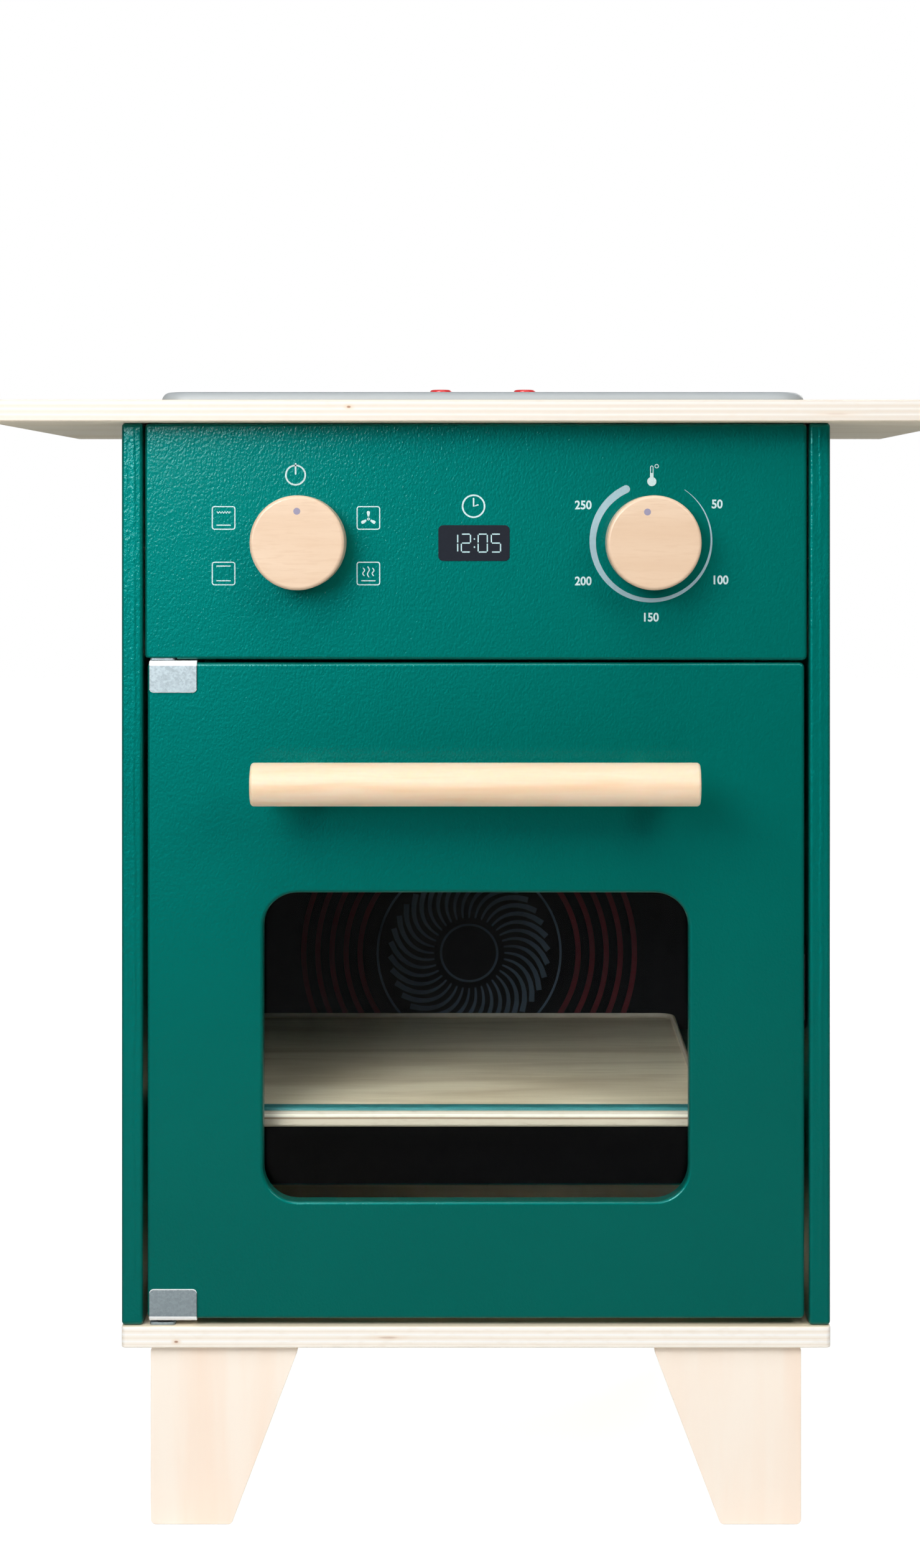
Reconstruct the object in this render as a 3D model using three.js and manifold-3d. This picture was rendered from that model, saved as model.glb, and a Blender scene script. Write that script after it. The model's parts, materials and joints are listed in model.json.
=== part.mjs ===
// A child's play oven: a plywood cabinet on four tapered legs, with a worktop, a hob plate,
// a control panel with two turned knobs and a side-hung door with a window and a bar handle.
// Millimetres. X runs to the right, Y to the back and Z up; the origin is on the floor,
// under the centre of the whole oven.

import * as THREE from 'three';
import { mergeVertices } from 'three/addons/utils/BufferGeometryUtils.js';
import Module from 'manifold-3d';

const wasm = await Module();
wasm.setup();

// Boards and fits
const boardThickness = 10;
const boardEdgeRound = 1.5;
const boardCornerRound = 2.2;
const seatGap = 0.1;
const runGap = 0.3;
const cutOverrun = 1;

// Cabinet
const innerWidth = 313;
const sideHeight = 424;
const sideDepth = 287;
const backThickness = 3;
const backInset = 1;
const baseProud = 1.5;
const worktopSideOverhang = 62;
const worktopFrontOverhang = 20;

// Legs
const legHeight = 84;
const legTopWidth = 70;
const legBottomWidth = 38;
const legThickness = 20;
const legFromEnd = 13.5;
const legFromFront = 2;
const legCornerRound = 3;
const legEdgeRound = 1.2;
const legBoltRadius = 3;
const legBoltHeadRadius = 6;
const legBoltHeadHeight = 3;
const legBoltLength = 44;
const legBoltFromEdge = 30;

// Control panel
const panelHeight = 110;
const panelSideGap = 1;
const panelTopGap = 0.3;
const cleatSection = 14;
const cleatEdgeRound = 1;

// Knobs
const knobRadius = 22;
const knobHeight = 20;
const knobFrontRound = 2;
const knobBackRound = 0.8;
const knobSpacing = 165.4;
const knobBelowPanelCentre = 0.9;
const knobGap = 0.8;
const knobBoreDepth = 13;
const spindleRadius = 3;
const spindleTail = 2;
const washerRadius = 7;
const washerThickness = 1;
const nutAcrossCorners = 11.5;
const nutHeight = 5;

// Door
const doorTopGap = 2.4;
const doorBottomGap = 3.3;
const doorSideGap = 2.2;
const windowWidth = 200;
const windowHeight = 145;
const windowRadius = 16;
const windowAboveDoorBottom = 55;
const paneThickness = 2;
const paneLap = 9;
const paneCornerRadius = 8;
const paneScrewRadius = 1.5;
const paneScrewHeadRadius = 3;
const paneScrewHeadHeight = 1.6;
const paneScrewLength = 6;
const paneScrewInset = 4.5;

// Handle
const barRadius = 10;
const barLength = 206.5;
const barEndRound = 1.6;
const barStandOff = 30;
const barBelowDoorTop = 54.4;
const spacerRadius = 7;
const spacerSpacing = 156;
const handleBoltRadius = 2;
const handleBoltHeadRadius = 4.2;
const handleBoltHeadHeight = 2.4;
const handleBoltInBar = 8;

// Pivot hinges
const pivotFromDoorEdge = 7.5;
const pinRadius = 2;
const pinLength = 9;
const pinHeadRound = 0.6;
const clipSheet = 0.9;
const clipBendRadius = 1.6;
const clipLength = 22.4;
const clipHeight = 15;
const clipFromDoorEdge = 0.9;
const clipCornerRadius = 2;
const hingePlateThickness = 1.2;
const hingePlateLength = 12;
const hingePlateDepth = 21;
const hingePlateFromDoorEdge = 1;
const hingePlateFront = 1;
const hingePlateCornerRadius = 1.5;
const hingeScrewRadius = 1.4;
const hingeScrewHeadRadius = 2.6;
const hingeScrewLength = 9;
const hingeScrewFromPin = 11;
const hingeWasherRadius = 4;

// Magnetic catch
const catchWidth = 13;
const catchHeight = 40;
const catchDepth = 14;
const catchRound = 1.5;
const catchHeightShare = 0.5;
const magnetWidth = 6;
const magnetHeight = 26;
const magnetDepth = 5;
const strikeWidth = 11;
const strikeHeight = 34;
const strikeThickness = 1.2;
const strikeRound = 2;

// Tray and its ledges
const trayThickness = 9.5;
const trayAboveBase = 98.6;
const trayFromFront = 20;
const trayFromBack = 3;
const trayFromLeft = 5;
const trayFromRight = 46;
const trayCornerRadius = 10;
const trayRim = 2;
const trayFrontRim = 8;
const trayRecess = 2.4;
const trayRecessRadius = 8;
const trayBearing = 6;
const ledgeThickness = 10;
const ledgeFromFront = 16;
const ledgeFromBack = 1;

// Hob plate
const hobWidth = 311;
const hobDepth = 236;
const hobHeight = 5.8;
const hobFromFront = 30;
const hobOffCentre = 3;
const hobCornerRadius = 20;
const hobEdgeRound = 4;
const hobWall = 2.4;
const hotplateRadius = 56;
const hotplateThickness = 1.2;
const hotplateSpacing = 150;
const hotplateFromFrontShare = 0.62;

// Electronics under the hob
const tubWidth = 120;
const tubDepth = 66;
const tubHeight = 20;
const tubWall = 2;
const tubCornerRadius = 4;
const tubFlange = 5;
const tubFlangeThickness = 1.5;
const tubFromHobFront = 8;
const tubBossRadius = 3;
const hatchWidth = 84;
const hatchDepth = 44;
const hatchCornerRadius = 3;
const boardInset = 3;
const circuitThickness = 1.6;
const circuitBelowWorktop = 6;
const buttonRadius = 5.3;
const buttonProud = 1.8;
const buttonTopRound = 0.8;
const buttonFlangeRadius = 7;
const buttonFlangeThickness = 1;
const buttonStemRadius = 1.5;
const buttonStemGap = 2;
const buttonSpacing = 40.8;
const buttonFromHobFront = 22;
const springWire = 0.5;
const springRadius = 3.4;
const springTurns = 5;

// How finely the round forms are divided
const cornerSegments = 2;
const wideCornerSegments = 4;
const bevelSegments = 2;
const roundSegments = 40;
const smallRoundSegments = 14;
const springStepsPerTurn = 10;
const springWireSides = 6;
const hexSides = 6;

// Places that follow from the sizes
const outerWidth = innerWidth + 2 * boardThickness;
const worktopWidth = outerWidth + 2 * worktopSideOverhang;
const baseTop = legHeight + boardThickness;
const sideTop = baseTop + sideHeight;
const worktopTop = sideTop + boardThickness;
const cabinetBack = sideDepth + backThickness;
const panelTop = sideTop - panelTopGap;
const panelBottom = panelTop - panelHeight;
const panelWidth = innerWidth - 2 * panelSideGap;
const panelCentreZ = (panelTop + panelBottom) / 2;
const knobZ = panelCentreZ - knobBelowPanelCentre;
const doorWidth = innerWidth - 2 * doorSideGap;
const doorBottom = baseTop + doorBottomGap;
const doorHeight = panelBottom - doorTopGap - doorBottom;
const doorLeft = -doorWidth / 2;
const pivotX = doorLeft + pivotFromDoorEdge;
const pivotY = boardThickness / 2;
const handleZ = doorHeight - barBelowDoorTop;
const paneWidth = windowWidth + 2 * paneLap;
const paneHeight = windowHeight + 2 * paneLap;
const windowCentreZ = windowAboveDoorBottom + windowHeight / 2;
const catchZ = doorBottom + doorHeight * catchHeightShare;
const trayTop = baseTop + trayAboveBase;
const trayWidth = innerWidth - trayFromLeft - trayFromRight;
const trayDepth = sideDepth - trayFromFront - trayFromBack;
const trayLeft = -innerWidth / 2 + trayFromLeft;
const ledgeWidth = trayFromRight - seatGap + trayBearing;
const hobTop = worktopTop + hobHeight;
const hobInnerTop = hobTop - hobWall;
const tubCentreY = hobFromFront + tubFromHobFront + tubDepth / 2;
const tubBottom = worktopTop - tubHeight;
const circuitTop = worktopTop - circuitBelowWorktop;
const buttonY = hobFromFront + buttonFromHobFront;
const frontmost = -barStandOff - barRadius;

// Materials
function material(color, roughness, metalness = 0) {
  return new THREE.MeshStandardMaterial({ color, roughness, metalness });
}

const greenPaint = () => material(0x00736a, 0.45);
const plywood = () => material(0xf3ead8, 0.6);
const beech = () => material(0xefc9a3, 0.55);
const palePine = () => material(0xf3dfc8, 0.6);
const zinc = () => material(0xaeb5b8, 0.35, 1);
const steel = () => material(0x9a9fa3, 0.3, 1);
const greyPlastic = () => material(0xc3c9cd, 0.45);
const darkPlastic = () => material(0x2c2f33, 0.5);
const redPlastic = () => material(0xd9352f, 0.4);
const acrylic = () => {
  const clear = material(0xdde6e8, 0.05);
  clear.transparent = true;
  clear.opacity = 0.3;
  return clear;
};

// Joining and cutting
function solidOf(geometry) {
  const bare = geometry.clone();
  bare.deleteAttribute('normal');
  bare.deleteAttribute('uv');
  const merged = mergeVertices(bare);
  return new wasm.Manifold(new wasm.Mesh({
    numProp: 3,
    vertProperties: new Float32Array(merged.attributes.position.array),
    triVerts: new Uint32Array(merged.index.array),
  }));
}

function geometryOf(solid) {
  const mesh = solid.getMesh();
  const geometry = new THREE.BufferGeometry();
  geometry.setAttribute('position', new THREE.BufferAttribute(mesh.vertProperties, mesh.numProp));
  geometry.setIndex(new THREE.BufferAttribute(mesh.triVerts, 1));
  geometry.computeVertexNormals();
  return geometry;
}

function cutFrom(geometry, ...cutters) {
  return geometryOf(cutters.reduce((left, cutter) => left.subtract(solidOf(cutter)), solidOf(geometry)));
}

function joined(geometry, ...others) {
  return geometryOf(others.reduce((whole, other) => whole.add(solidOf(other)), solidOf(geometry)));
}

function common(geometry, other) {
  return geometryOf(solidOf(geometry).intersect(solidOf(other)));
}

// Basic forms
function roundedRectangle(width, height, radius) {
  const shape = new THREE.Shape();
  const x = width / 2;
  const y = height / 2;
  shape.absarc(x - radius, y - radius, radius, 0, Math.PI / 2);
  shape.absarc(-x + radius, y - radius, radius, Math.PI / 2, Math.PI);
  shape.absarc(-x + radius, -y + radius, radius, Math.PI, Math.PI * 1.5);
  shape.absarc(x - radius, -y + radius, radius, Math.PI * 1.5, Math.PI * 2);
  return shape;
}

// A flat piece of the given outline, on Z = 0, with its edges eased by edgeRound.
function slab(outline, thickness, edgeRound = 0, curveSegments = cornerSegments) {
  const geometry = new THREE.ExtrudeGeometry(outline, {
    depth: thickness - 2 * edgeRound,
    curveSegments,
    bevelEnabled: edgeRound > 0,
    bevelSize: edgeRound,
    bevelOffset: -edgeRound,
    bevelThickness: edgeRound,
    bevelSegments,
  });
  geometry.translate(0, 0, edgeRound);
  return geometry;
}

// A board centred on X and Y, lying on Z = 0.
function board(width, depth, thickness = boardThickness, cornerRound = boardCornerRound,
  edgeRound = boardEdgeRound, curveSegments = cornerSegments) {
  return slab(roundedRectangle(width, depth, cornerRound), thickness, edgeRound, curveSegments);
}

// Stands a piece up so that its outline faces the front and its thickness runs from Y = 0 back.
function facingFront(geometry, thickness) {
  return geometry.rotateX(Math.PI / 2).translate(0, thickness, 0);
}

// Stands a piece up so that its outline faces the side: its width runs along Y.
function facingSide(geometry) {
  return geometry.rotateX(Math.PI / 2).rotateZ(Math.PI / 2);
}

function rodY(radius, from, to, segments = roundSegments) {
  const rod = new THREE.CylinderGeometry(radius, radius, to - from, segments);
  return rod.translate(0, (from + to) / 2, 0);
}

function rodZ(radius, from, to, segments = roundSegments) {
  const rod = new THREE.CylinderGeometry(radius, radius, to - from, segments);
  return rod.rotateX(Math.PI / 2).translate(0, 0, (from + to) / 2);
}

// A turned piece about Z, from points of radius and height.
function turned(points, segments = roundSegments) {
  const profile = points.map(([radius, height]) => new THREE.Vector2(radius, height));
  return new THREE.LatheGeometry(profile, segments).rotateX(Math.PI / 2);
}

// The points of a quarter round about a centre, from one angle to another.
function quarterRound(centreRadius, centreHeight, round, from, to) {
  return Array.from({ length: bevelSegments + 1 }, (_, step) => {
    const angle = from + (to - from) * step / bevelSegments;
    return [centreRadius + round * Math.cos(angle), centreHeight + round * Math.sin(angle)];
  });
}

function countersunkScrew(radius, headRadius, headHeight, length) {
  return turned([
    [0, -length],
    [radius, -length],
    [radius, -headHeight],
    [headRadius, 0],
    [0, 0],
  ], smallRoundSegments);
}

// The room that a countersunk screw needs, open past its head.
function countersunkRoom(radius, headRadius, headHeight, length) {
  return turned([
    [0, -length],
    [radius, -length],
    [radius, -headHeight],
    [headRadius, 0],
    [headRadius, cutOverrun],
    [0, cutOverrun],
  ], smallRoundSegments);
}

function panHeadScrew(radius, headRadius, headHeight, length) {
  return turned([
    [0, -length],
    [radius, -length],
    [radius, 0],
    [headRadius, 0],
    ...quarterRound(headRadius - headHeight / 2, headHeight / 2, headHeight / 2, 0, Math.PI / 2),
    [0, headHeight],
  ], smallRoundSegments);
}

function place(group, name, geometry, itsMaterial, x = 0, y = 0, z = 0) {
  const mesh = new THREE.Mesh(geometry, itsMaterial);
  mesh.name = name;
  mesh.position.set(x, y, z);
  group.add(mesh);
  return mesh;
}

// Cabinet
function buildCabinet() {
  const cabinet = new THREE.Group();
  const sideX = (innerWidth + boardThickness) / 2;
  const sidePanel = () => facingSide(board(sideDepth, sideHeight - 2 * seatGap));
  for (const [side, x] of [['left', -sideX], ['right', sideX]]) {
    place(cabinet, `${side}_side_panel`, sidePanel(), greenPaint(),
      x - boardThickness / 2, sideDepth / 2, baseTop + sideHeight / 2);
  }
  place(cabinet, 'base_board', baseBoard(), plywood(), 0, (cabinetBack - baseProud) / 2, legHeight);
  place(cabinet, 'worktop', worktop(), plywood(),
    0, (cabinetBack - worktopFrontOverhang) / 2, sideTop);
  const back = board(outerWidth - 2 * backInset, sideHeight - 2 * seatGap, backThickness - seatGap,
    boardCornerRound, 0);
  place(cabinet, 'back_panel', facingFront(back, backThickness), greenPaint(),
    0, sideDepth, baseTop + sideHeight / 2);
  return cabinet;
}

function baseBoard() {
  const depth = cabinetBack + baseProud;
  const centreY = (cabinetBack - baseProud) / 2;
  const rooms = legPlaces().map(({ boltX, boltY }) => countersunkRoom(
    legBoltRadius + runGap, legBoltHeadRadius + runGap, legBoltHeadHeight + runGap,
    boardThickness + cutOverrun,
  ).translate(boltX, boltY - centreY, boardThickness));
  const screwRoom = rodZ(hingeScrewRadius + runGap, boardThickness - hingeScrewLength, baseTop,
    smallRoundSegments).translate(pivotX, pivotY + hingeScrewFromPin - centreY, 0);
  return cutFrom(board(outerWidth, depth), screwRoom, ...rooms);
}

function worktop() {
  const depth = cabinetBack + worktopFrontOverhang;
  const centreY = (cabinetBack - worktopFrontOverhang) / 2;
  const room = board(tubWidth + 2 * runGap, tubDepth + 2 * runGap, boardThickness + 2 * cutOverrun,
    tubCornerRadius + runGap, 0);
  room.translate(hobOffCentre, tubCentreY - centreY, -cutOverrun);
  return cutFrom(board(worktopWidth, depth), room);
}

// Legs: each tapers on the side that faces the middle of the cabinet.
function legPlaces() {
  const outer = outerWidth / 2 - legFromEnd;
  const frontY = legFromFront + legThickness / 2;
  const backY = cabinetBack - legFromFront - legThickness / 2;
  return [
    { name: 'front_left', side: -1, y: frontY },
    { name: 'front_right', side: 1, y: frontY },
    { name: 'back_left', side: -1, y: backY },
    { name: 'back_right', side: 1, y: backY },
  ].map((leg) => ({ ...leg, x: leg.side * outer, boltX: leg.side * (outer - legBoltFromEdge), boltY: leg.y }));
}

function legOutline(side) {
  const corners = [
    [0, legHeight - seatGap],
    [-side * legTopWidth, legHeight - seatGap],
    [-side * legBottomWidth, 0],
    [0, 0],
  ];
  return roundedPolygon(side > 0 ? corners : corners.reverse(), legCornerRound);
}

// A polygon with each corner rounded by a quadratic curve that starts cornerRound from it.
function roundedPolygon(corners, cornerRound) {
  const points = corners.map(([x, y]) => new THREE.Vector2(x, y));
  const shape = new THREE.Shape();
  points.forEach((corner, index) => {
    const before = points[(index + points.length - 1) % points.length];
    const after = points[(index + 1) % points.length];
    const start = before.clone().sub(corner).setLength(cornerRound).add(corner);
    const end = after.clone().sub(corner).setLength(cornerRound).add(corner);
    if (index === 0) {
      shape.moveTo(start.x, start.y);
    } else {
      shape.lineTo(start.x, start.y);
    }
    shape.quadraticCurveTo(corner.x, corner.y, end.x, end.y);
  });
  shape.closePath();
  return shape;
}

function buildLegs() {
  const legs = new THREE.Group();
  const boltTop = baseTop - runGap;
  for (const { name, side, x, y, boltX, boltY } of legPlaces()) {
    const room = rodZ(legBoltRadius + runGap, boltTop - legBoltLength - runGap, legHeight + cutOverrun,
      smallRoundSegments).translate(boltX - x, 0, 0);
    const stock = facingFront(slab(legOutline(side), legThickness, legEdgeRound), legThickness / 2);
    place(legs, `${name}_leg`, cutFrom(stock, room), palePine(), x, y, 0);
    place(legs, `${name}_leg_bolt`,
      countersunkScrew(legBoltRadius, legBoltHeadRadius, legBoltHeadHeight, legBoltLength),
      steel(), boltX, boltY, boltTop);
  }
  return legs;
}

// Control panel with its two knobs
const knobPlaces = [['selector', -knobSpacing / 2], ['temperature', knobSpacing / 2]];

function buildControls() {
  const controls = new THREE.Group();
  const bores = knobPlaces.map(([, x]) => rodY(
    spindleRadius + runGap, -cutOverrun, boardThickness + cutOverrun, smallRoundSegments,
  ).translate(x, 0, -knobBelowPanelCentre));
  const panel = facingFront(board(panelWidth, panelHeight), boardThickness);
  place(controls, 'control_panel', cutFrom(panel, ...bores), greenPaint(), 0, 0, panelCentreZ);
  for (const [side, sign] of [['left', -1], ['right', 1]]) {
    place(controls, `control_panel_cleat_${side}`, cleat(sign), palePine(),
      sign * (innerWidth / 2 - seatGap - cleatSection / 2),
      boardThickness + seatGap + cleatSection / 2, panelBottom);
  }
  for (const [name, x] of knobPlaces) {
    controls.add(buildKnob(name, x));
  }
  return controls;
}

// The left cleat also takes the screw of the upper hinge plate, in its lower end.
function cleat(sign) {
  const strip = board(cleatSection, cleatSection, panelHeight, cleatEdgeRound, 0);
  if (sign > 0) {
    return strip;
  }
  const screwX = pivotX + innerWidth / 2 - seatGap - cleatSection / 2;
  const screwY = pivotY + hingeScrewFromPin - boardThickness - seatGap - cleatSection / 2;
  const room = rodZ(hingeScrewRadius + runGap, -cutOverrun, hingeScrewLength + runGap,
    smallRoundSegments);
  return cutFrom(strip, room.translate(screwX, screwY, 0));
}

function buildKnob(name, x) {
  const knob = new THREE.Group();
  knob.position.set(x, 0, knobZ);
  knob.rotation.x = Math.PI / 2;
  const base = knobGap;
  const bore = spindleRadius + seatGap;
  place(knob, `${name}_knob`, turned([
    [0, knobBoreDepth],
    [bore, knobBoreDepth],
    [bore, 0],
    ...quarterRound(knobRadius - knobBackRound, knobBackRound, knobBackRound, -Math.PI / 2, 0),
    ...quarterRound(knobRadius - knobFrontRound, knobHeight - knobFrontRound, knobFrontRound, 0, Math.PI / 2),
    [0, knobHeight],
  ], roundSegments), beech(), 0, 0, base);
  const washerTop = -boardThickness - runGap;
  const nutTop = washerTop - washerThickness - seatGap;
  const tail = nutTop - nutHeight - spindleTail;
  place(knob, `${name}_spindle`,
    rodZ(spindleRadius, tail, base + knobBoreDepth - seatGap, smallRoundSegments), steel());
  const ring = rodZ(washerRadius, -washerThickness, 0, smallRoundSegments);
  const eye = rodZ(bore, -washerThickness - cutOverrun, cutOverrun, smallRoundSegments);
  place(knob, `${name}_washer`, cutFrom(ring, eye), zinc(), 0, 0, washerTop);
  const hex = rodZ(nutAcrossCorners / 2, -nutHeight, 0, hexSides);
  const thread = rodZ(bore, -nutHeight - cutOverrun, cutOverrun, smallRoundSegments);
  place(knob, `${name}_nut`, cutFrom(hex, thread), zinc(), 0, 0, nutTop);
  return knob;
}

// Door, in a group whose origin is the front lower left corner of its panel
function buildDoor() {
  const door = new THREE.Group();
  door.position.set(doorLeft, 0, doorBottom);
  place(door, 'door_panel', doorPanel(), greenPaint());
  const paneOutline = roundedRectangle(paneWidth, paneHeight, paneCornerRadius);
  const paneBores = paneScrewPlaces().map(([x, z]) => rodY(
    paneScrewRadius + runGap, -cutOverrun, paneThickness + cutOverrun, smallRoundSegments,
  ).translate(x - doorWidth / 2, 0, z - windowCentreZ));
  place(door, 'window_pane', cutFrom(facingFront(slab(paneOutline, paneThickness), paneThickness),
    ...paneBores), acrylic(), doorWidth / 2, boardThickness + seatGap, windowCentreZ);
  paneScrewPlaces().forEach(([x, z], index) => {
    const screw = panHeadScrew(paneScrewRadius, paneScrewHeadRadius, paneScrewHeadHeight, paneScrewLength);
    place(door, `pane_screw_${index + 1}`, screw.rotateX(-Math.PI / 2), zinc(),
      x, boardThickness + paneThickness + 2 * seatGap, z);
  });
  const strike = slab(roundedRectangle(strikeWidth, strikeHeight, strikeRound), strikeThickness);
  place(door, 'strike_plate', facingFront(strike, strikeThickness), zinc(),
    innerWidth / 2 - catchWidth / 2 - doorLeft, boardThickness + seatGap, catchZ - doorBottom);
  addHandle(door);
  addHingeClips(door);
  return door;
}

function paneScrewPlaces() {
  const x = paneWidth / 2 - paneScrewInset;
  const z = paneHeight / 2 - paneScrewInset;
  return [[-x, z], [x, z], [-x, -z], [x, -z]].map(([sideways, up]) => [
    doorWidth / 2 + sideways,
    windowCentreZ + up,
  ]);
}

function doorPanel() {
  const stock = facingFront(board(doorWidth, doorHeight), boardThickness);
  stock.translate(doorWidth / 2, 0, doorHeight / 2);
  const hole = roundedRectangle(windowWidth, windowHeight, windowRadius);
  const holeDepth = boardThickness + 2 * cutOverrun;
  const windowRoom = facingFront(slab(hole, holeDepth, 0, wideCornerSegments), boardThickness + cutOverrun);
  windowRoom.translate(doorWidth / 2, 0, windowCentreZ);
  const pinRooms = [
    rodZ(pinRadius + runGap, -cutOverrun, pinLength, smallRoundSegments),
    rodZ(pinRadius + runGap, doorHeight - pinLength, doorHeight + cutOverrun, smallRoundSegments),
  ].map((room) => room.translate(pivotFromDoorEdge, pivotY, 0));
  const boltRooms = handleSides().map((x) => rodY(
    handleBoltRadius + runGap, -cutOverrun, boardThickness + cutOverrun, smallRoundSegments,
  ).translate(x, 0, handleZ));
  const screwRooms = paneScrewPlaces().map(([x, z]) => rodY(
    paneScrewRadius + runGap, boardThickness + paneThickness - paneScrewLength, boardThickness + cutOverrun,
    smallRoundSegments,
  ).translate(x, 0, z));
  return cutFrom(stock, windowRoom, ...pinRooms, ...boltRooms, ...screwRooms);
}

function handleSides() {
  return [doorWidth / 2 - spacerSpacing / 2, doorWidth / 2 + spacerSpacing / 2];
}

// The bar is held by two spacers whose front ends are hollowed to fit round it.
function addHandle(door) {
  const boltTip = -barStandOff + barRadius - handleBoltInBar;
  const boltHead = boardThickness + seatGap;
  const boltRooms = handleSides().map((x) => rodY(
    handleBoltRadius + runGap, boltTip - runGap, 0, smallRoundSegments,
  ).translate(x - doorWidth / 2, barStandOff, 0));
  const bar = handleStock(barRadius, barEndRound);
  place(door, 'handle_bar', cutFrom(bar, ...boltRooms), palePine(), doorWidth / 2, -barStandOff, handleZ);
  handleSides().forEach((x, index) => {
    const side = index === 0 ? 'left' : 'right';
    const stock = rodY(spacerRadius, -barStandOff, -seatGap);
    const saddle = handleStock(barRadius + runGap, barEndRound).translate(0, -barStandOff, 0);
    const bore = rodY(handleBoltRadius + runGap, -barStandOff - cutOverrun, cutOverrun, smallRoundSegments);
    place(door, `handle_spacer_${side}`, cutFrom(stock, saddle, bore), palePine(), x, 0, handleZ);
    const bolt = panHeadScrew(handleBoltRadius, handleBoltHeadRadius, handleBoltHeadHeight,
      boltHead - boltTip);
    place(door, `handle_bolt_${side}`, bolt.rotateX(-Math.PI / 2), zinc(), x, boltHead, handleZ);
  });
}

// A bar along X with eased ends.
function handleStock(radius, endRound) {
  const half = barLength / 2;
  return turned([
    [0, -half],
    ...quarterRound(radius - endRound, -half + endRound, endRound, -Math.PI / 2, 0),
    ...quarterRound(radius - endRound, half - endRound, endRound, 0, Math.PI / 2),
    [0, half],
  ]).rotateY(Math.PI / 2);
}

// Pivot hinges. A folded clip grips each left corner of the door and turns on the pin of a plate
// that is fixed to the cabinet. Both are drawn about the pin, for the lower corner.
function hingeClip(side) {
  const inner = boardThickness / 2 + seatGap;
  const outer = inner + clipSheet;
  const outerBend = clipBendRadius + clipSheet;
  const fold = new THREE.Shape();
  fold.moveTo(-outer, clipHeight);
  fold.lineTo(-outer, outerBend);
  fold.absarc(-outer + outerBend, outerBend, outerBend, Math.PI, Math.PI * 1.5);
  fold.absarc(outer - outerBend, outerBend, outerBend, Math.PI * 1.5, Math.PI * 2);
  fold.lineTo(outer, clipHeight);
  fold.lineTo(inner, clipHeight);
  fold.absarc(inner - clipBendRadius, outerBend, clipBendRadius, 0, -Math.PI / 2, true);
  fold.absarc(-inner + clipBendRadius, outerBend, clipBendRadius, -Math.PI / 2, -Math.PI, true);
  fold.lineTo(-inner, clipHeight);
  fold.closePath();
  const near = clipFromDoorEdge - pivotFromDoorEdge;
  const centreX = side * (near + clipLength / 2);
  const folded = facingSide(slab(fold, clipLength)).translate(centreX - clipLength / 2, 0, 0);
  const outlineHeight = clipHeight + clipCornerRadius + cutOverrun;
  const leaf = roundedRectangle(clipLength, outlineHeight, clipCornerRadius);
  const trim = facingFront(slab(leaf, 2 * outer + 2 * cutOverrun), outer + cutOverrun);
  trim.translate(centreX, 0, clipHeight - outlineHeight / 2);
  const eye = rodZ(pinRadius + runGap, -cutOverrun, outerBend + cutOverrun, smallRoundSegments);
  return cutFrom(common(folded, trim), eye).translate(0, 0, -clipSheet - seatGap);
}

function addHingeClips(door) {
  place(door, 'lower_hinge_clip', hingeClip(1), zinc(), pivotFromDoorEdge, pivotY, 0);
  const upper = place(door, 'upper_hinge_clip', hingeClip(-1), zinc(),
    pivotFromDoorEdge, pivotY, doorHeight);
  upper.rotation.y = Math.PI;
}

function hingePlate(side, pinReach) {
  const near = hingePlateFromDoorEdge - pivotFromDoorEdge;
  const centreX = side * (near + hingePlateLength / 2);
  const centreY = hingePlateFront - pivotY + hingePlateDepth / 2;
  const plate = board(hingePlateLength, hingePlateDepth, hingePlateThickness, hingePlateCornerRadius, 0);
  plate.translate(centreX, centreY, 0);
  const pin = turned([
    [0, 0],
    [pinRadius, 0],
    ...quarterRound(pinRadius - pinHeadRound, pinReach - pinHeadRound, pinHeadRound, 0, Math.PI / 2),
    [0, pinReach],
  ], smallRoundSegments);
  const screwRoom = countersunkRoom(hingeScrewRadius + seatGap, hingeScrewHeadRadius + seatGap,
    hingePlateThickness, hingePlateThickness + cutOverrun);
  screwRoom.translate(0, hingeScrewFromPin, hingePlateThickness);
  return cutFrom(joined(plate, pin), screwRoom);
}

function buildHingePlates() {
  const plates = new THREE.Group();
  const reach = (gap) => gap + pinLength - 2 * runGap;
  const washerThickness = doorBottomGap - hingePlateThickness - clipSheet - seatGap - 2 * runGap;
  const screw = () => countersunkScrew(hingeScrewRadius, hingeScrewHeadRadius, hingePlateThickness,
    hingeScrewLength);
  const lower = new THREE.Group();
  lower.position.set(pivotX, pivotY, baseTop + seatGap);
  place(lower, 'lower_hinge_plate', hingePlate(1, reach(doorBottomGap)), zinc());
  place(lower, 'lower_hinge_screw', screw(), zinc(), 0, hingeScrewFromPin, hingePlateThickness);
  const ring = rodZ(hingeWasherRadius, 0, washerThickness, smallRoundSegments);
  const eye = rodZ(pinRadius + runGap, -cutOverrun, washerThickness + cutOverrun, smallRoundSegments);
  place(lower, 'lower_hinge_washer', cutFrom(ring, eye), darkPlastic(),
    0, 0, hingePlateThickness + seatGap);
  const upper = new THREE.Group();
  upper.position.set(pivotX, pivotY, panelBottom - seatGap);
  upper.rotation.y = Math.PI;
  place(upper, 'upper_hinge_plate', hingePlate(-1, reach(doorTopGap)), zinc());
  place(upper, 'upper_hinge_screw', screw(), zinc(), 0, hingeScrewFromPin, hingePlateThickness);
  plates.add(lower, upper);
  return plates;
}

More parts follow.
